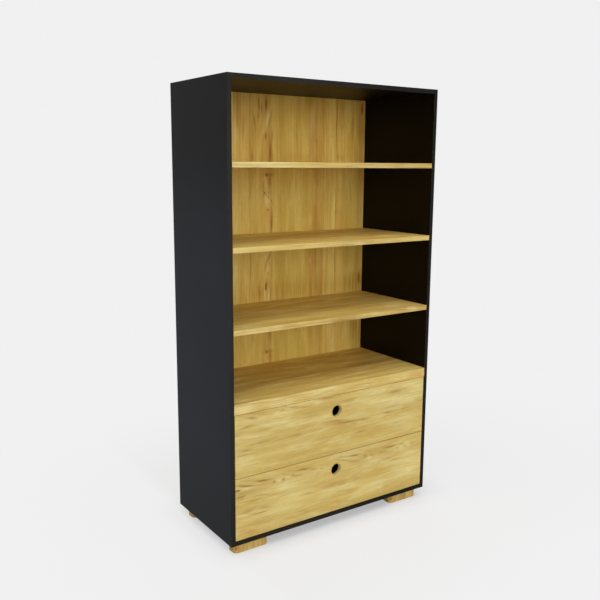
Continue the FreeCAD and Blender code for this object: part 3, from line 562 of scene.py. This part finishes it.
def metal(name, light, dark, stretch, rough, spangle=0.0):
    """Plated or bright steel. stretch draws its brushing out along each axis."""
    r = Recipe.material(name)
    place = r.place()
    brush = r.noise(r.scaled(place, *stretch))
    cloud = r.noise(r.scaled(place, 90.0), detail=3.0)
    flake = r.parts(r.cells(r.scaled(place, 200.0), colour=True))[0]
    pit = r.span(r.noise(r.scaled(place, 700.0), detail=0.0), 0.72, 0.82)
    colour = r.mix(r.span(cloud, 0.30, 0.70), light, dark)
    colour = r.shaded(colour, r.span(flake, 0.0, 1.0, 1.0 - spangle, 1.0, smooth=False))
    colour = r.mix(r.times(pit, 0.20), colour, rgb(70, 68, 64))
    roughness = r.add(rough, r.times(r.minus(brush, 0.5), 0.24),
                      r.times(r.minus(cloud, 0.5), 0.10))
    return r.finish(
        Base_Color=colour, Metallic=1.0, Roughness=roughness,
        Normal=r.bump(r.minus(brush, r.times(pit, 0.5)), 0.03 * MM, 0.4),
    )


# ---------------- settings


def paint(name, where, red, green, blue):
    """A colour that a user may change, given as a screen colour."""
    return bpy.props.FloatVectorProperty(
        name=name, description="Colour " + where, subtype="COLOR", size=3, min=0.0, max=1.0,
        default=rgb(red, green, blue),
    )


def strength(name, light, default, most=10.0):
    """A light's strength that a user may change."""
    return bpy.props.FloatProperty(
        name=name, description="Strength of " + light, min=0.0, max=most, default=default,
    )


class BookcasePineSettings(bpy.types.PropertyGroup):
    """The pine of the back, the shelves, the drawer faces and the feet."""

    light: paint("Pale wood", "of the palest early wood", 222, 196, 122)
    cream: paint("Cream wood", "of the curly cream patches", 240, 224, 166)
    gold: paint("Gold wood", "of the broad golden bands", 205, 172, 92)
    dark: paint("Late wood", "of the growth rings and streaks", 158, 117, 48)
    warm: paint("Warm wood", "of the pinkish zones", 206, 154, 82)
    brown: paint("Knots", "of the knots", 132, 74, 6)
    # painted light: the pale wall of the finger holes stands in for the light on it
    bored: paint("Hole wall", "of the end grain inside the finger holes", 226, 201, 145)
    relief: bpy.props.FloatProperty(
        name="Grain relief", description="How far the grain stands up",
        min=0.0, max=0.001, default=0.00012, unit="LENGTH",
    )


class BookcaseBoardSettings(bpy.types.PropertyGroup):
    """The black faced board of the carcass."""

    skin: paint("Outer skin", "of the black facing outside", 17, 17, 17)
    # painted reflection: a paler, cooler sheen on the outer faces
    painted_sheen: paint("Dusty skin", "of the outer facing where hands and dust reach it", 31, 34, 40)
    edge: paint("Edge band", "of the black band on the front edges", 35, 34, 30)
    # painted shade: the darker, warmer facing inside the carcass
    inner: paint("Inner skin", "of the black facing inside", 12, 7, 2)
    worn: paint("Worn edge", "where an edge is rubbed", 62, 59, 54)
    core: paint("Core", "of the chipboard inside the bores", 172, 140, 96)
    wear: bpy.props.FloatProperty(
        name="Edge wear", description="Width of the rubbed line along an edge",
        min=0.0, max=0.01, default=0.0014, unit="LENGTH",
    )


class BookcaseBoxSettings(bpy.types.PropertyGroup):
    """The birch plywood of the drawer boxes, and the beech dowels."""

    face: paint("Ply face", "of the face veneer", 230, 206, 162)
    shade: paint("Ply figure", "of the face's darker figure", 213, 183, 134)
    end: paint("Ply end grain", "of the cross plies", 174, 134, 87)
    dowel: paint("Dowels", "of the beech dowels", 214, 172, 128)


class BookcaseMetalSettings(bpy.types.PropertyGroup):
    """The runners and the fasteners."""

    sheet: paint("Runner steel", "of the zinc-plated runners", 206, 209, 212)
    steel: paint("Bearing steel", "of the balls and cages", 214, 214, 213)
    cast: paint("Cams", "of the cast zinc cams", 186, 186, 184)
    plated: paint("Screws", "of the screws, bolts and nails", 204, 203, 198)
    black: paint("Black fittings", "of the carcass cams and the shelf pins", 44, 41, 38)


class BookcaseStageSettings(bpy.types.PropertyGroup):
    """The floor, the lamps and the camera."""

    backdrop: paint("Backdrop", "behind the bookcase and of the far floor", 240.5, 240.5, 240.5)
    floor: paint("Floor", "of the floor near the bookcase", 238, 238, 238)
    ambient: strength("Room light", "the even light from all sides", 0.20, 2.0)
    front: strength("Front lamp", "the low lamp in front", 2.1)
    top: strength("Top lamp", "the lamp overhead", 1.5)
    side: strength("Side lamp", "the lamp at the left", 0.3)
    rear: strength("Rear lamp", "the lamp behind the bookcase", 0.9)
    softness: bpy.props.FloatProperty(
        name="Softness", description="How wide each lamp looks from the bookcase",
        subtype="ANGLE", min=0.0, max=math.pi, default=math.radians(50),
    )
    lens: bpy.props.FloatProperty(
        name="Lens", description="Focal length of the camera", min=10.0, max=200.0,
        subtype="DISTANCE_CAMERA", unit="CAMERA", default=44.610,
    )


GROUPS = {
    "pine": BookcasePineSettings,
    "board": BookcaseBoardSettings,
    "box": BookcaseBoxSettings,
    "metal": BookcaseMetalSettings,
    "stage": BookcaseStageSettings,
}


class BookcaseSettings(bpy.types.PropertyGroup):
    """What a user may change before the operators run."""

    pine: bpy.props.PointerProperty(type=BookcasePineSettings)
    board: bpy.props.PointerProperty(type=BookcaseBoardSettings)
    box: bpy.props.PointerProperty(type=BookcaseBoxSettings)
    metal: bpy.props.PointerProperty(type=BookcaseMetalSettings)
    stage: bpy.props.PointerProperty(type=BookcaseStageSettings)


def settings():
    return bpy.context.scene.bookcase


# ---------------- marks in the wood

# The staves of the back panel: the X at which each begins, in millimetres, and its tint.
BACK_TINTS = {
    "pale": (1.08, 1.12, 1.22),
    "plain": (1.01, 0.97, 0.93),
    "straw": (0.97, 0.95, 0.86),
    "olive": (0.95, 0.95, 0.80),
    "tan": (0.93, 0.85, 0.76),
    "umber": (0.87, 0.78, 0.62),
}

BACK_STAVES = [
    (-441.5, "plain"), (-300, "tan"), (-205, "pale"), (-183, "plain"),
    (-128, "straw"), (-45, "tan"), (-30, "olive"), (152, "tan"),
    (182, "umber"), (225, "plain"), (250, "pale"), (285, "tan"),
    (300, "plain"), (345, "straw"), (400, "tan"), (414, "plain"),
]

# The marks of each board. A mark is its place along and across the grain, its length and its
# width, all in millimetres, then its weight and, where it isn't level and straight, its slope
# and its bow, all in hundredths. Knots push the rings aside. The other kinds are strokes in
# the pine's colour of that name, laid one kind over the other in this order.
MARKS = {
    "back_panel": {
        "knots": [
            (1571, -54.8, 30, 5.4, 95), (1305, -53.5, 9, 6.2, 85), (1170, -47.5, 7, 6, 45),
            (865, -57, 24, 5.4, 95), (917, -44.5, 6, 5, 35), (596, -53, 9, 6.5, 60),
            (1438, 184.5, 12, 4.5, 25), (1574, 417, 32, 7, 80), (864, 417, 32, 7, 75),
        ],
        "warm": [
            (1559, 85, 14, 38, 40), (1510, -152, 27, 20, 45), (1378, 85, 14, 34, 50),
            (1290, -40, 22, 12, 40), (1150, -46, 30, 19, 65), (878, -44, 18, 10, 50),
            (669, 85, 14, 34, 40), (581, -40, 22, 12, 40),
        ],
        "brown": [
            (1570, -88, 30, 4.1, 72), (1555, -72.5, 20, 3.9, 61, -5), (1525, -92, 18, 4.1, 65),
            (1512, -109.5, 36, 3.7, 51, -14), (1513, -38.5, 32, 3.9, 80, 26),
            (1454, -57, 12, 7.3, 58), (1457, -25, 20, 3.9, 58), (1391, -36, 45, 7.6, 65, 4),
            (1373, -120, 20, 6.1, 36), (1480, -127, 120, 4.1, 41), (1550, -179, 60, 3.4, 30),
            (1590, -190, 40, 8, 25), (1560, -310, 50, 16, 12), (1530, -190, 60, 12, 12),
            (1595, -150, 30, 50, 12), (1595, 140, 22, 60, 14), (1440, 184, 110, 10, 20),
            (1560, 315, 60, 18, 20), (1500, 315, 20, 16, 14), (1500, 369, 65, 6, 25),
            (1470, 418, 110, 6, 34), (1385, 400, 30, 10, 20), (1376, 305, 12, 12, 20),
            (1500, 286, 110, 3.4, 36), (1480, 149, 120, 3, 34), (1350, 20, 60, 2.6, 18),
            (1377, 292, 14, 2.6, 35, 0, 2500), (1377, 318, 14, 2.6, 35, 0, -2500),
            (1280, -39, 26, 6.3, 58), (1306, -42, 6, 22, 43), (1267, -64, 24, 3.4, 36, 2, 1200),
            (1216, -43.5, 26, 3.9, 80, -91), (1234, -62, 10, 3.9, 51, 50),
            (1236, -40, 10, 7.3, 36), (1180, -129, 140, 3.7, 35), (1130, -97, 60, 3.4, 32),
            (1120, -31, 55, 5.1, 61), (1130, 182, 60, 6, 28), (1090, 200, 16, 18, 14),
            (1140, 406, 60, 10, 28), (1150, 290, 12, 30, 10), (1180, 286, 110, 3, 28),
            (975, -46.5, 22, 3.9, 55, 51), (940, -59, 16, 4.1, 46, 10), (840, -87, 28, 3.7, 65),
            (836, -73, 24, 3.7, 58), (838, -34, 30, 3.7, 58), (930, -127, 120, 3.7, 35),
            (905, -29, 90, 4.1, 32, 2), (960, 182, 90, 6, 22), (930, 286, 110, 3, 31),
            (745, -57, 12, 7.3, 40), (748, -25, 20, 3.9, 45), (682, -36, 45, 7.6, 50, 4),
            (664, -120, 20, 6.1, 30), (597, -42, 6, 22, 35), (571, -39, 26, 6.3, 45),
        ],
        "dark": [
            (1480, 415, 180, 32, 62), (845, 150, 48, 450, 34), (845, 400, 48, 60, 30),
            (640, 410, 90, 40, 52),
        ],
        "light": [(1450, 110, 55, 28, 30), (1430, 255, 70, 20, 30), (1200, -95, 70, 16, 35)],
        "cream": [
            (1512, -50, 36, 8.5, 75, 12), (1277, -60, 24, 6, 50), (1208, -52, 22, 16, 39),
            (981, -61, 18, 5, 44), (935, -47, 14, 6, 33), (835, -64, 20, 3.6, 44),
            (830, -44, 25, 4.6, 50), (568, -60, 24, 6, 45), (1220, 50, 50, 180, 14),
        ],
    },
    "shelf_upper": {
        "dark": [(240, -205, 260, 4, 42)],
        "cream": [(-380, -205, 180, 4, 55)],
    },
    "shelf_middle": {
        "dark": [(60, -205, 90, 4, 42)],
        "cream": [(-400, -205, 80, 4, 20)],
    },
    "shelf_lower": {
        "dark": [
            (30, -205, 90, 4, 55), (360, -205, 160, 4, 35), (58, -33, 120, 18, 45),
            (-240, -33, 80, 16, 30), (-180, 58, 50, 10, 25),
        ],
    },
    "deck_panel": {
        "dark": [
            (250, -26, 150, 18, 50), (-254, -33, 90, 16, 40), (-26, -19, 60, 14, 35),
            (200, 58, 70, 10, 35), (225, 135, 110, 22, 40), (0, 149, 40, 12, 30),
        ],
        "cream": [(-395, -205, 50, 4, 50), (-80, -205, 90, 4, 30)],
        "warm": [(405, -205, 35, 4, 30)],
    },
    "upper_drawer_face": {
        "cream": [
            (-266, 494, 12, 5, 60), (-240, 484, 50, 11, 45, -5), (-92, 500, 20, 8, 55, -5),
            (-270, 458, 130, 6, 40), (-180, 438, 110, 14, 50, -5), (-380, 424, 50, 10, 45, -5),
            (-50, 440, 40, 12, 35), (200, 500, 60, 8, 35), (210, 452, 90, 16, 50, -5),
            (330, 446, 80, 14, 50, -3), (400, 470, 50, 36, 50), (-390, 340, 40, 16, 25),
            (-150, 360, 60, 14, 20), (355, 325, 40, 12, 30),
        ],
        "dark": [
            (-350, 509, 36, 2.8, 60, -12), (-367, 494, 22, 4.8, 70, -15),
            (-330, 500, 30, 2.6, 35, -12), (-240, 499, 10, 3, 60, -10),
            (-228, 509, 12, 2.4, 40, -10), (-198, 500, 24, 3.4, 55, -15),
            (-150, 492, 40, 2.6, 35, -12), (-46, 509, 40, 4, 70, -8), (-394, 464, 30, 5, 50, 10),
            (-320, 442, 28, 4.4, 40, 5), (-120, 454, 40, 3, 35, -4), (-330, 398, 90, 7, 36, 6),
            (-385, 381, 28, 4.6, 75, -4), (-395, 366, 34, 4, 40, -8), (-250, 391, 40, 5, 40, 5),
            (-187, 395, 30, 5.2, 65, -8), (-155, 415, 40, 3.6, 40, 5), (-170, 346, 20, 5, 30),
            (10, 412, 45, 6, 50, -10), (46, 400, 55, 4.2, 70, -6), (128, 396, 26, 3.6, 45, -8),
            (60, 381, 60, 5, 30), (243, 401, 24, 3.8, 65, -12), (262, 420, 40, 6, 30),
            (335, 399, 32, 3.4, 50, 4), (280, 477, 30, 6, 45, 4), (262, 498, 14, 3, 40, -10),
            (106, 462, 30, 3, 35, -4), (45, 484, 50, 4.6, 35), (112, 347, 26, 5, 32),
            (290, 347, 22, 6, 30), (232, 379, 14, 3.6, 35), (-20, 298, 120, 6, 20),
        ],
        "warm": [
            (-10, 405, 50, 12, 40, -10), (-40, 507, 40, 7, 35), (260, 384, 45, 8, 30),
            (175, 334, 45, 12, 35),
        ],
    },
    "lower_drawer_face": {
        "knots": [(-424, 243, 15, 4.6, 80)],
        "cream": [
            (-257, 240, 14, 6, 60, -10), (-396, 243, 35, 5.5, 50, -5), (-203, 213, 75, 30, 30),
            (-219, 246, 10, 6, 45), (-232, 214, 45, 15, 50, -10), (-75, 242, 30, 8, 55, -10),
            (155, 236, 16, 7, 50), (180, 218, 50, 18, 45), (322, 240, 10, 6, 45),
            (370, 212, 50, 13, 45, -10), (-310, 186, 60, 7, 40, -8), (-180, 174, 90, 8, 30, -3),
            (-400, 146, 30, 4, 60, -15), (-240, 126, 120, 10, 40, -5), (60, 134, 60, 6, 40, -10),
            (180, 120, 70, 10, 35, -3), (370, 150, 80, 36, 55),
        ],
        "dark": [
            (-322, 256.5, 30, 3.6, 95, -12, 80), (-388, 253, 44, 3.4, 105, -20, 40),
            (-370, 266, 30, 2.4, 45, -16), (-330, 244, 40, 2.6, 40, -10),
            (-390, 228, 60, 10, 45, -5), (-412, 218, 20, 4, 60), (-310, 200, 50, 3, 40, -15),
            (-375, 195, 40, 4, 40, -5), (-385, 158, 34, 7, 55), (-315, 155, 20, 6, 40),
            (-330, 137, 30, 2.6, 40, -10), (-340, 103, 60, 6, 30), (-276, 241, 7, 4.6, 75),
            (-236, 239, 7, 5.2, 75), (-236, 260, 6, 3.6, 45), (-218, 253, 6, 3.4, 70),
            (-196, 247, 10, 4, 70, -30), (-150, 257, 32, 3.6, 95, -8, 80),
            (-170, 240, 30, 6, 40, -10), (-105, 248, 14, 3, 45, -20), (-66, 240, 12, 3.4, 50, -20),
            (-110, 197, 30, 3, 35), (-16, 160, 40, 7, 50), (-130, 158, 30, 5, 35, -8),
            (-160, 98, 30, 5, 30), (88, 257.5, 32, 3.4, 90, -12, 80),
            (30, 252, 34, 3, 80, -24, 80), (20, 267, 34, 2.2, 40, -12), (80, 235, 34, 7, 42, -10),
            (138, 243, 6, 5, 50), (172, 242, 10, 3, 40, -40), (266, 256.5, 32, 3.6, 90, -8, 80),
            (240, 236, 30, 8, 42, -15), (304, 241, 7, 3.2, 55), (325, 256, 10, 4, 40),
            (343, 241, 9, 4.4, 45, -20), (381, 244, 8, 7, 40), (290, 194.5, 22, 3.6, 55, -4),
            (255, 208, 30, 4, 35), (100, 160, 18, 6, 35), (30, 158, 20, 7, 45),
            (240, 90, 60, 5, 25, -4),
        ],
        "warm": [
            (-20, 162, 50, 8, 30), (-368, 79, 28, 8, 85), (-410, 90, 20, 14, 40),
            (-415, 170, 30, 12, 30), (-210, 87, 30, 6, 40, -10), (20, 90, 40, 8, 50, -5),
            (250, 92, 16, 6, 50), (280, 72, 60, 6, 25),
        ],
    },
}


# ---------------- pieces


def dress(node, material):
    """Gives a packed piece its finish."""
    NODES[node].data.materials[0] = material


def sides(*stems):
    """The left and the right piece of each stem."""
    return [stem + side for stem in stems for side in ("_left", "_right")]


class Maker(bpy.types.Operator):
    bl_options = {"REGISTER", "UNDO"}

    def execute(self, context):
        self.make(settings())
        return {"FINISHED"}


class BOOKCASE_OT_carcass(Maker):
    """Charcoal-black board on the sides, the top and the bottom"""

    bl_idname = "bookcase.carcass"
    bl_label = "Carcass boards"

    def make(self, chosen):
        for node in (*sides("side_panel"), "top_panel", "bottom_panel"):
            dress(node, black_board(node, chosen.board))


class BOOKCASE_OT_back_panel(Maker):
    """Pine back with upright grain"""

    bl_idname = "bookcase.back_panel"
    bl_label = "Back panel"

    def make(self, chosen):
        node = "back_panel"
        skin_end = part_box(node)[0].y + 1.1 * MM
        figure = {
            "tone": (0.96, 0.93, 0.63),
            # painted shade: the lower bays of the back are darker, and the top one redder,
            # standing in for the shade under the shelves
            "fade": ("Z", 1.24, 1.40, (1.11, 0.97, 0.59)),
            "curl": 0.16,
            "heart": (-54 * MM, -0.17, 0.03),
            "rings": 90.0,
            "wander": 0.014,
            "contrast": 0.20,
            "fine": 0.7,
            "warmth": 0.12,
            "patches": 0.30,
            "reverse": (skin_end, skin_end + 0.2 * MM),
            "staves": [(edge * MM, BACK_TINTS[tint]) for edge, tint in BACK_STAVES],
        }
        dress(node, pine(node, "ZXY", figure, chosen.pine))


class BOOKCASE_OT_shelves(Maker):
    """Pine shelves and deck, with the grain from side to side"""

    bl_idname = "bookcase.shelves"
    bl_label = "Shelves and deck"

    def make(self, chosen):
        # each board is cut from its own stretch of wood. Painted light: its first 30 mm from the
        # front and the rest of it take two tones, standing in for how the lamps fall on the front
        # edge and on the top
        front = CAD_BOX[0].y
        painted_light_tint = (1.04, 1.02, 0.83)
        for node, shift, lip in (
            ("shelf_upper", 1.7, painted_light_tint),
            ("shelf_middle", 4.1, (1.11, 1.09, 0.90)),
            ("shelf_lower", 7.3, painted_light_tint),
            ("deck_panel", 9.9, painted_light_tint),
        ):
            figure = {
                "heart": (0.05, 0.06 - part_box(node)[0].z, 0.02),
                "rings": 130.0,
                "contrast": 0.30,
                "shift": shift,
                "tone": (0.85, 0.84, 0.74),
                "fade": ("Y", front, front + 30 * MM, lip),
                "curl": 0.16,
                "rim": 0.12,
            }
            dress(node, pine(node, "XYZ", figure, chosen.pine))


class BOOKCASE_OT_drawer_faces(Maker):
    """Pine drawer faces, with long grain and curls near the top edges"""

    bl_idname = "bookcase.drawer_faces"
    bl_label = "Drawer faces"

    def make(self, chosen):
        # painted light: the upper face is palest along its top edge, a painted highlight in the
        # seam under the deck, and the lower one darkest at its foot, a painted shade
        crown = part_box("upper_drawer_face")[1].z
        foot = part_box("lower_drawer_face")[0].z
        plain = (0.785, 0.79, 0.69)
        figures = {
            "upper_drawer_face": {
                "heart": (0.46, 0.235, 0.03),
                "tone": plain,
                "fade": ("Z", crown - 1.2 * MM, crown - 0.2 * MM, (1.08, 1.08, 0.94)),
                "shift": 3.1,
            },
            "lower_drawer_face": {
                "heart": (0.235, 0.235, 0.03),
                "tone": (0.71, 0.745, 0.69),
                "fade": ("Z", foot + 2 * MM, foot + 16 * MM, plain),
                "shift": 8.4,
            },
        }
        for node, figure in figures.items():
            figure.update(rings=110.0, contrast=0.16, warmth=0.06, patches=0.38, fine=0.60,
                          curl=0.22, press=0.92, rim=0.16, bored=True)
            dress(node, pine(node, "XZY", figure, chosen.pine))


class BOOKCASE_OT_feet(Maker):
    """Pine block feet, with upright grain"""

    bl_idname = "bookcase.feet"
    bl_label = "Feet"

    def make(self, chosen):
        for i, node in enumerate(sides("foot_front", "foot_rear")):
            low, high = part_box(node)
            middle = (low.x + high.x) / 2
            x = middle / MM
            figure = {
                "heart": (middle, 0.03, 0.0),
                "rings": 260.0,
                "contrast": 0.52,
                "shift": 2.3 * i,
                "warmth": 0.30,
                "tone": (0.79, 0.76, 0.62),
                "curl": 0.10,
                "marks": {
                    "knots": [(19, x - 62, 5, 4, 80)],
                    "warm": [(20, x - 56, 40, 14, 80), (20, x + 55, 40, 10, 55)],
                    "dark": [(14, x + aside, 14, 1.2, 60) for aside in (-22, 2, 7, 12, 34)],
                },
            }
            dress(node, pine(node, "ZXY", figure, chosen.pine))


class BOOKCASE_OT_drawer_boxes(Maker):
    """Birch plywood drawer boxes"""

    bl_idname = "bookcase.drawer_boxes"
    bl_label = "Drawer boxes"

    def make(self, chosen):
        for drawer in ("lower_drawer", "upper_drawer"):
            for end, axes, plies in (
                ("_side_left", "YZX", 11),
                ("_side_right", "YZX", 11),
                ("_back", "XZY", 11),
                ("_bottom", "XYZ", 3),
            ):
                dress(drawer + end, birch(drawer + end, axes, plies, chosen.box))


class BOOKCASE_OT_runners(Maker):
    """Zinc-plated drawer runners and their ball cages"""

    bl_idname = "bookcase.runners"
    bl_label = "Runners"

    def make(self, chosen):
        sheet = metal("zinc_sheet", chosen.metal.sheet, rgb(184, 188, 192),
                      (300.0, 14.0, 300.0), 0.34, 0.12)
        steel = metal("bright_steel", chosen.metal.steel, rgb(190, 190, 190),
                      (260.0, 260.0, 260.0), 0.20)
        for drawer in ("lower_", "upper_"):
            for node in sides(drawer + "rail", drawer + "runner_middle", drawer + "slide"):
                dress(node, sheet)
            for node in sides(drawer + "inner_cage", drawer + "outer_cage"):
                dress(node, steel)


class BOOKCASE_OT_fasteners(Maker):
    """Cams, bolts, dowels, pins, nails and screws"""

    bl_idname = "bookcase.fasteners"
    bl_label = "Fasteners"

    def make(self, chosen):
        cast = metal("cast_zinc", chosen.metal.cast, rgb(150, 150, 150),
                     (500.0, 500.0, 500.0), 0.46, 0.10)
        plated = metal("zinc_plated_steel", chosen.metal.plated, rgb(172, 172, 168),
                       (400.0, 400.0, 400.0), 0.30)
        black = metal("blackened_steel", chosen.metal.black, rgb(26, 25, 24),
                      (500.0, 500.0, 500.0), 0.44)
        rod = beech(chosen.box)
        for node in NODES:
            if node in ("carcass_cam_locks", "shelf_pins"):
                dress(node, black)
            elif node.endswith("cam_locks"):
                dress(node, cast)
            elif node.endswith("dowels"):
                dress(node, rod)
            elif node.endswith(("bolts", "screws", "nails")):
                dress(node, plated)


# ---------------- stage

# The camera's place, and its bearing to the right of straight back, its rise and its roll,
# in degrees.
CAMERA_PLACE = (-1.60129, -2.29428, 1.34644)
CAMERA_ANGLES = (34.411, -10.345, 0.392)

# Each lamp: its setting, its bearing from the front, which is negative to the left, and its
# height, both in degrees.
LAMPS = (
    ("front", -10, 4),
    ("top", -10, 68),
    ("side", -70, 42),
    ("rear", 160, 25),
)


def heading(yaw, pitch):
    """The direction at a bearing and a rise, both in radians."""
    flat = math.cos(pitch)
    return Vector((math.sin(yaw) * flat, math.cos(yaw) * flat, math.sin(pitch)))


def stand(name, data):
    """Puts a new object into the scene."""
    made = bpy.data.objects.new(name, data)
    bpy.context.scene.collection.objects.link(made)
    return made


class BOOKCASE_OT_stage(Maker):
    """Pale floor, soft lamps and the camera"""

    bl_idname = "bookcase.stage"
    bl_label = "Stage"

    def make(self, chosen):
        stage = chosen.stage
        self.floor(stage)
        self.world(stage)
        self.lamps(stage)
        self.camera(stage)

    def floor(self, stage):
        """A wide disc, which fades into the backdrop away from the bookcase."""
        mesh = bpy.data.meshes.new("floor")
        form = bmesh.new()
        bmesh.ops.create_circle(form, cap_ends=True, segments=96, radius=60.0)
        form.to_mesh(mesh)
        form.free()
        floor = stand("floor", mesh)
        r = Recipe.material("pale_floor")
        x, y, _ = r.place()
        # it fades by the distance from the foot of the bookcase, faster to the left and
        # the front, and most of all beside the left side, where the lamps stand. Near the
        # bookcase this glow is painted light, which lightens the floor's shadow, most of all at
        # the left
        high = CAD_BOX[1]
        stretches = []
        for part, limit, pace in ((x, high.x, 0.45), (r.times(x, -1.0), high.x, 1.0),
                                  (y, high.y, 0.60), (r.times(y, -1.0), high.y, 1.0)):
            stretch = r.times(r.highest(r.minus(part, limit), 0.0), pace)
            stretches.append(r.times(stretch, stretch))
        gap = r.math("SQRT", r.add(*stretches))
        near, far = 0.09, 0.75
        share = r.add(r.span(gap, 0.0, near, 0.45, 0.80), r.span(gap, near, far, 0.0, 0.20))
        lift = r.span(x, -high.x + 0.07, -high.x - 0.01, 0.0, 0.6)
        share = r.add(share, r.times(lift, r.minus(1.0, share)))
        glow = r.node("ShaderNodeEmission")
        r.put(glow.inputs["Color"], stage.backdrop)
        share = r.times(share, r.seen())
        r.put(r.surface, r.blend(share, r.shader.outputs[0], glow.outputs[0]))
        floor.data.materials.append(r.finish(
            Base_Color=stage.floor, Roughness=0.9, Specular_IOR_Level=0.0,
        ))

    def world(self, stage):
        """Even light, and the backdrop's colour where a ray sees it."""
        world = bpy.data.worlds.new("room")
        bpy.context.scene.world = world
        world.use_nodes = True
        r = Recipe(world.node_tree)
        r.tree.nodes.clear()
        shown, lit = r.node("ShaderNodeBackground"), r.node("ShaderNodeBackground")
        r.put(shown.inputs["Color"], stage.backdrop)
        r.put(lit.inputs["Color"], (1.0, 1.0, 1.0))
        r.put(lit.inputs["Strength"], stage.ambient)
        room = r.blend(r.seen(), lit.outputs[0], shown.outputs[0])
        r.put(r.node("ShaderNodeOutputWorld").inputs["Surface"], room)

    def lamps(self, stage):
        """Broad lamps, which all shine towards the bookcase."""
        for name, bearing, height in LAMPS:
            light = bpy.data.lights.new(name + "_lamp", "SUN")
            light.energy = getattr(stage, name)
            light.angle = stage.softness
            towards = heading(-math.radians(bearing), -math.radians(height))
            lamp = stand(name + "_lamp", light)
            lamp.rotation_euler = towards.to_track_quat("-Z", "Y").to_euler()

    def camera(self, stage):
        lens = bpy.data.cameras.new("camera")
        lens.lens = stage.lens
        lens.sensor_width = 36.0
        lens.clip_end = 200.0
        camera = stand("camera", lens)
        yaw, pitch, roll = (math.radians(angle) for angle in CAMERA_ANGLES)
        ahead = heading(yaw, pitch)
        level = Vector((math.cos(yaw), -math.sin(yaw), 0.0))
        over = level.cross(ahead)
        right = level * math.cos(roll) + over * math.sin(roll)
        up = over * math.cos(roll) - level * math.sin(roll)
        turn = Matrix((right, up, -ahead)).transposed().to_4x4()
        camera.matrix_world = Matrix.Translation(CAMERA_PLACE) @ turn
        bpy.context.scene.camera = camera
        bpy.context.scene.view_settings.view_transform = "Standard"


# ---------------- add-on

MAKERS = (
    BOOKCASE_OT_carcass,
    BOOKCASE_OT_back_panel,
    BOOKCASE_OT_shelves,
    BOOKCASE_OT_drawer_faces,
    BOOKCASE_OT_feet,
    BOOKCASE_OT_drawer_boxes,
    BOOKCASE_OT_runners,
    BOOKCASE_OT_fasteners,
    BOOKCASE_OT_stage,
)


class BOOKCASE_PT_panel(bpy.types.Panel):
    """The bookcase's steps, in the order in which they run"""

    bl_label = "Bookcase"
    bl_space_type = "VIEW_3D"
    bl_region_type = "UI"
    bl_category = "Bookcase"

    def draw(self, context):
        for maker in MAKERS:
            self.layout.operator(maker.bl_idname)
        for name, group in GROUPS.items():
            part = self.layout.box()
            part.label(text=group.__doc__)
            for size in group.__annotations__:
                part.prop(getattr(settings(), name), size)


CLASSES = (*GROUPS.values(), BookcaseSettings, *MAKERS, BOOKCASE_PT_panel)


def register():
    for part in CLASSES:
        bpy.utils.register_class(part)
    bpy.types.Scene.bookcase = bpy.props.PointerProperty(type=BookcaseSettings)


def unregister():
    del bpy.types.Scene.bookcase
    for part in reversed(CLASSES):
        bpy.utils.unregister_class(part)


def main():
    register()
    for maker in MAKERS:
        group, name = maker.bl_idname.split(".")
        getattr(getattr(bpy.ops, group), name)()


if __name__ == "__main__":
    main()
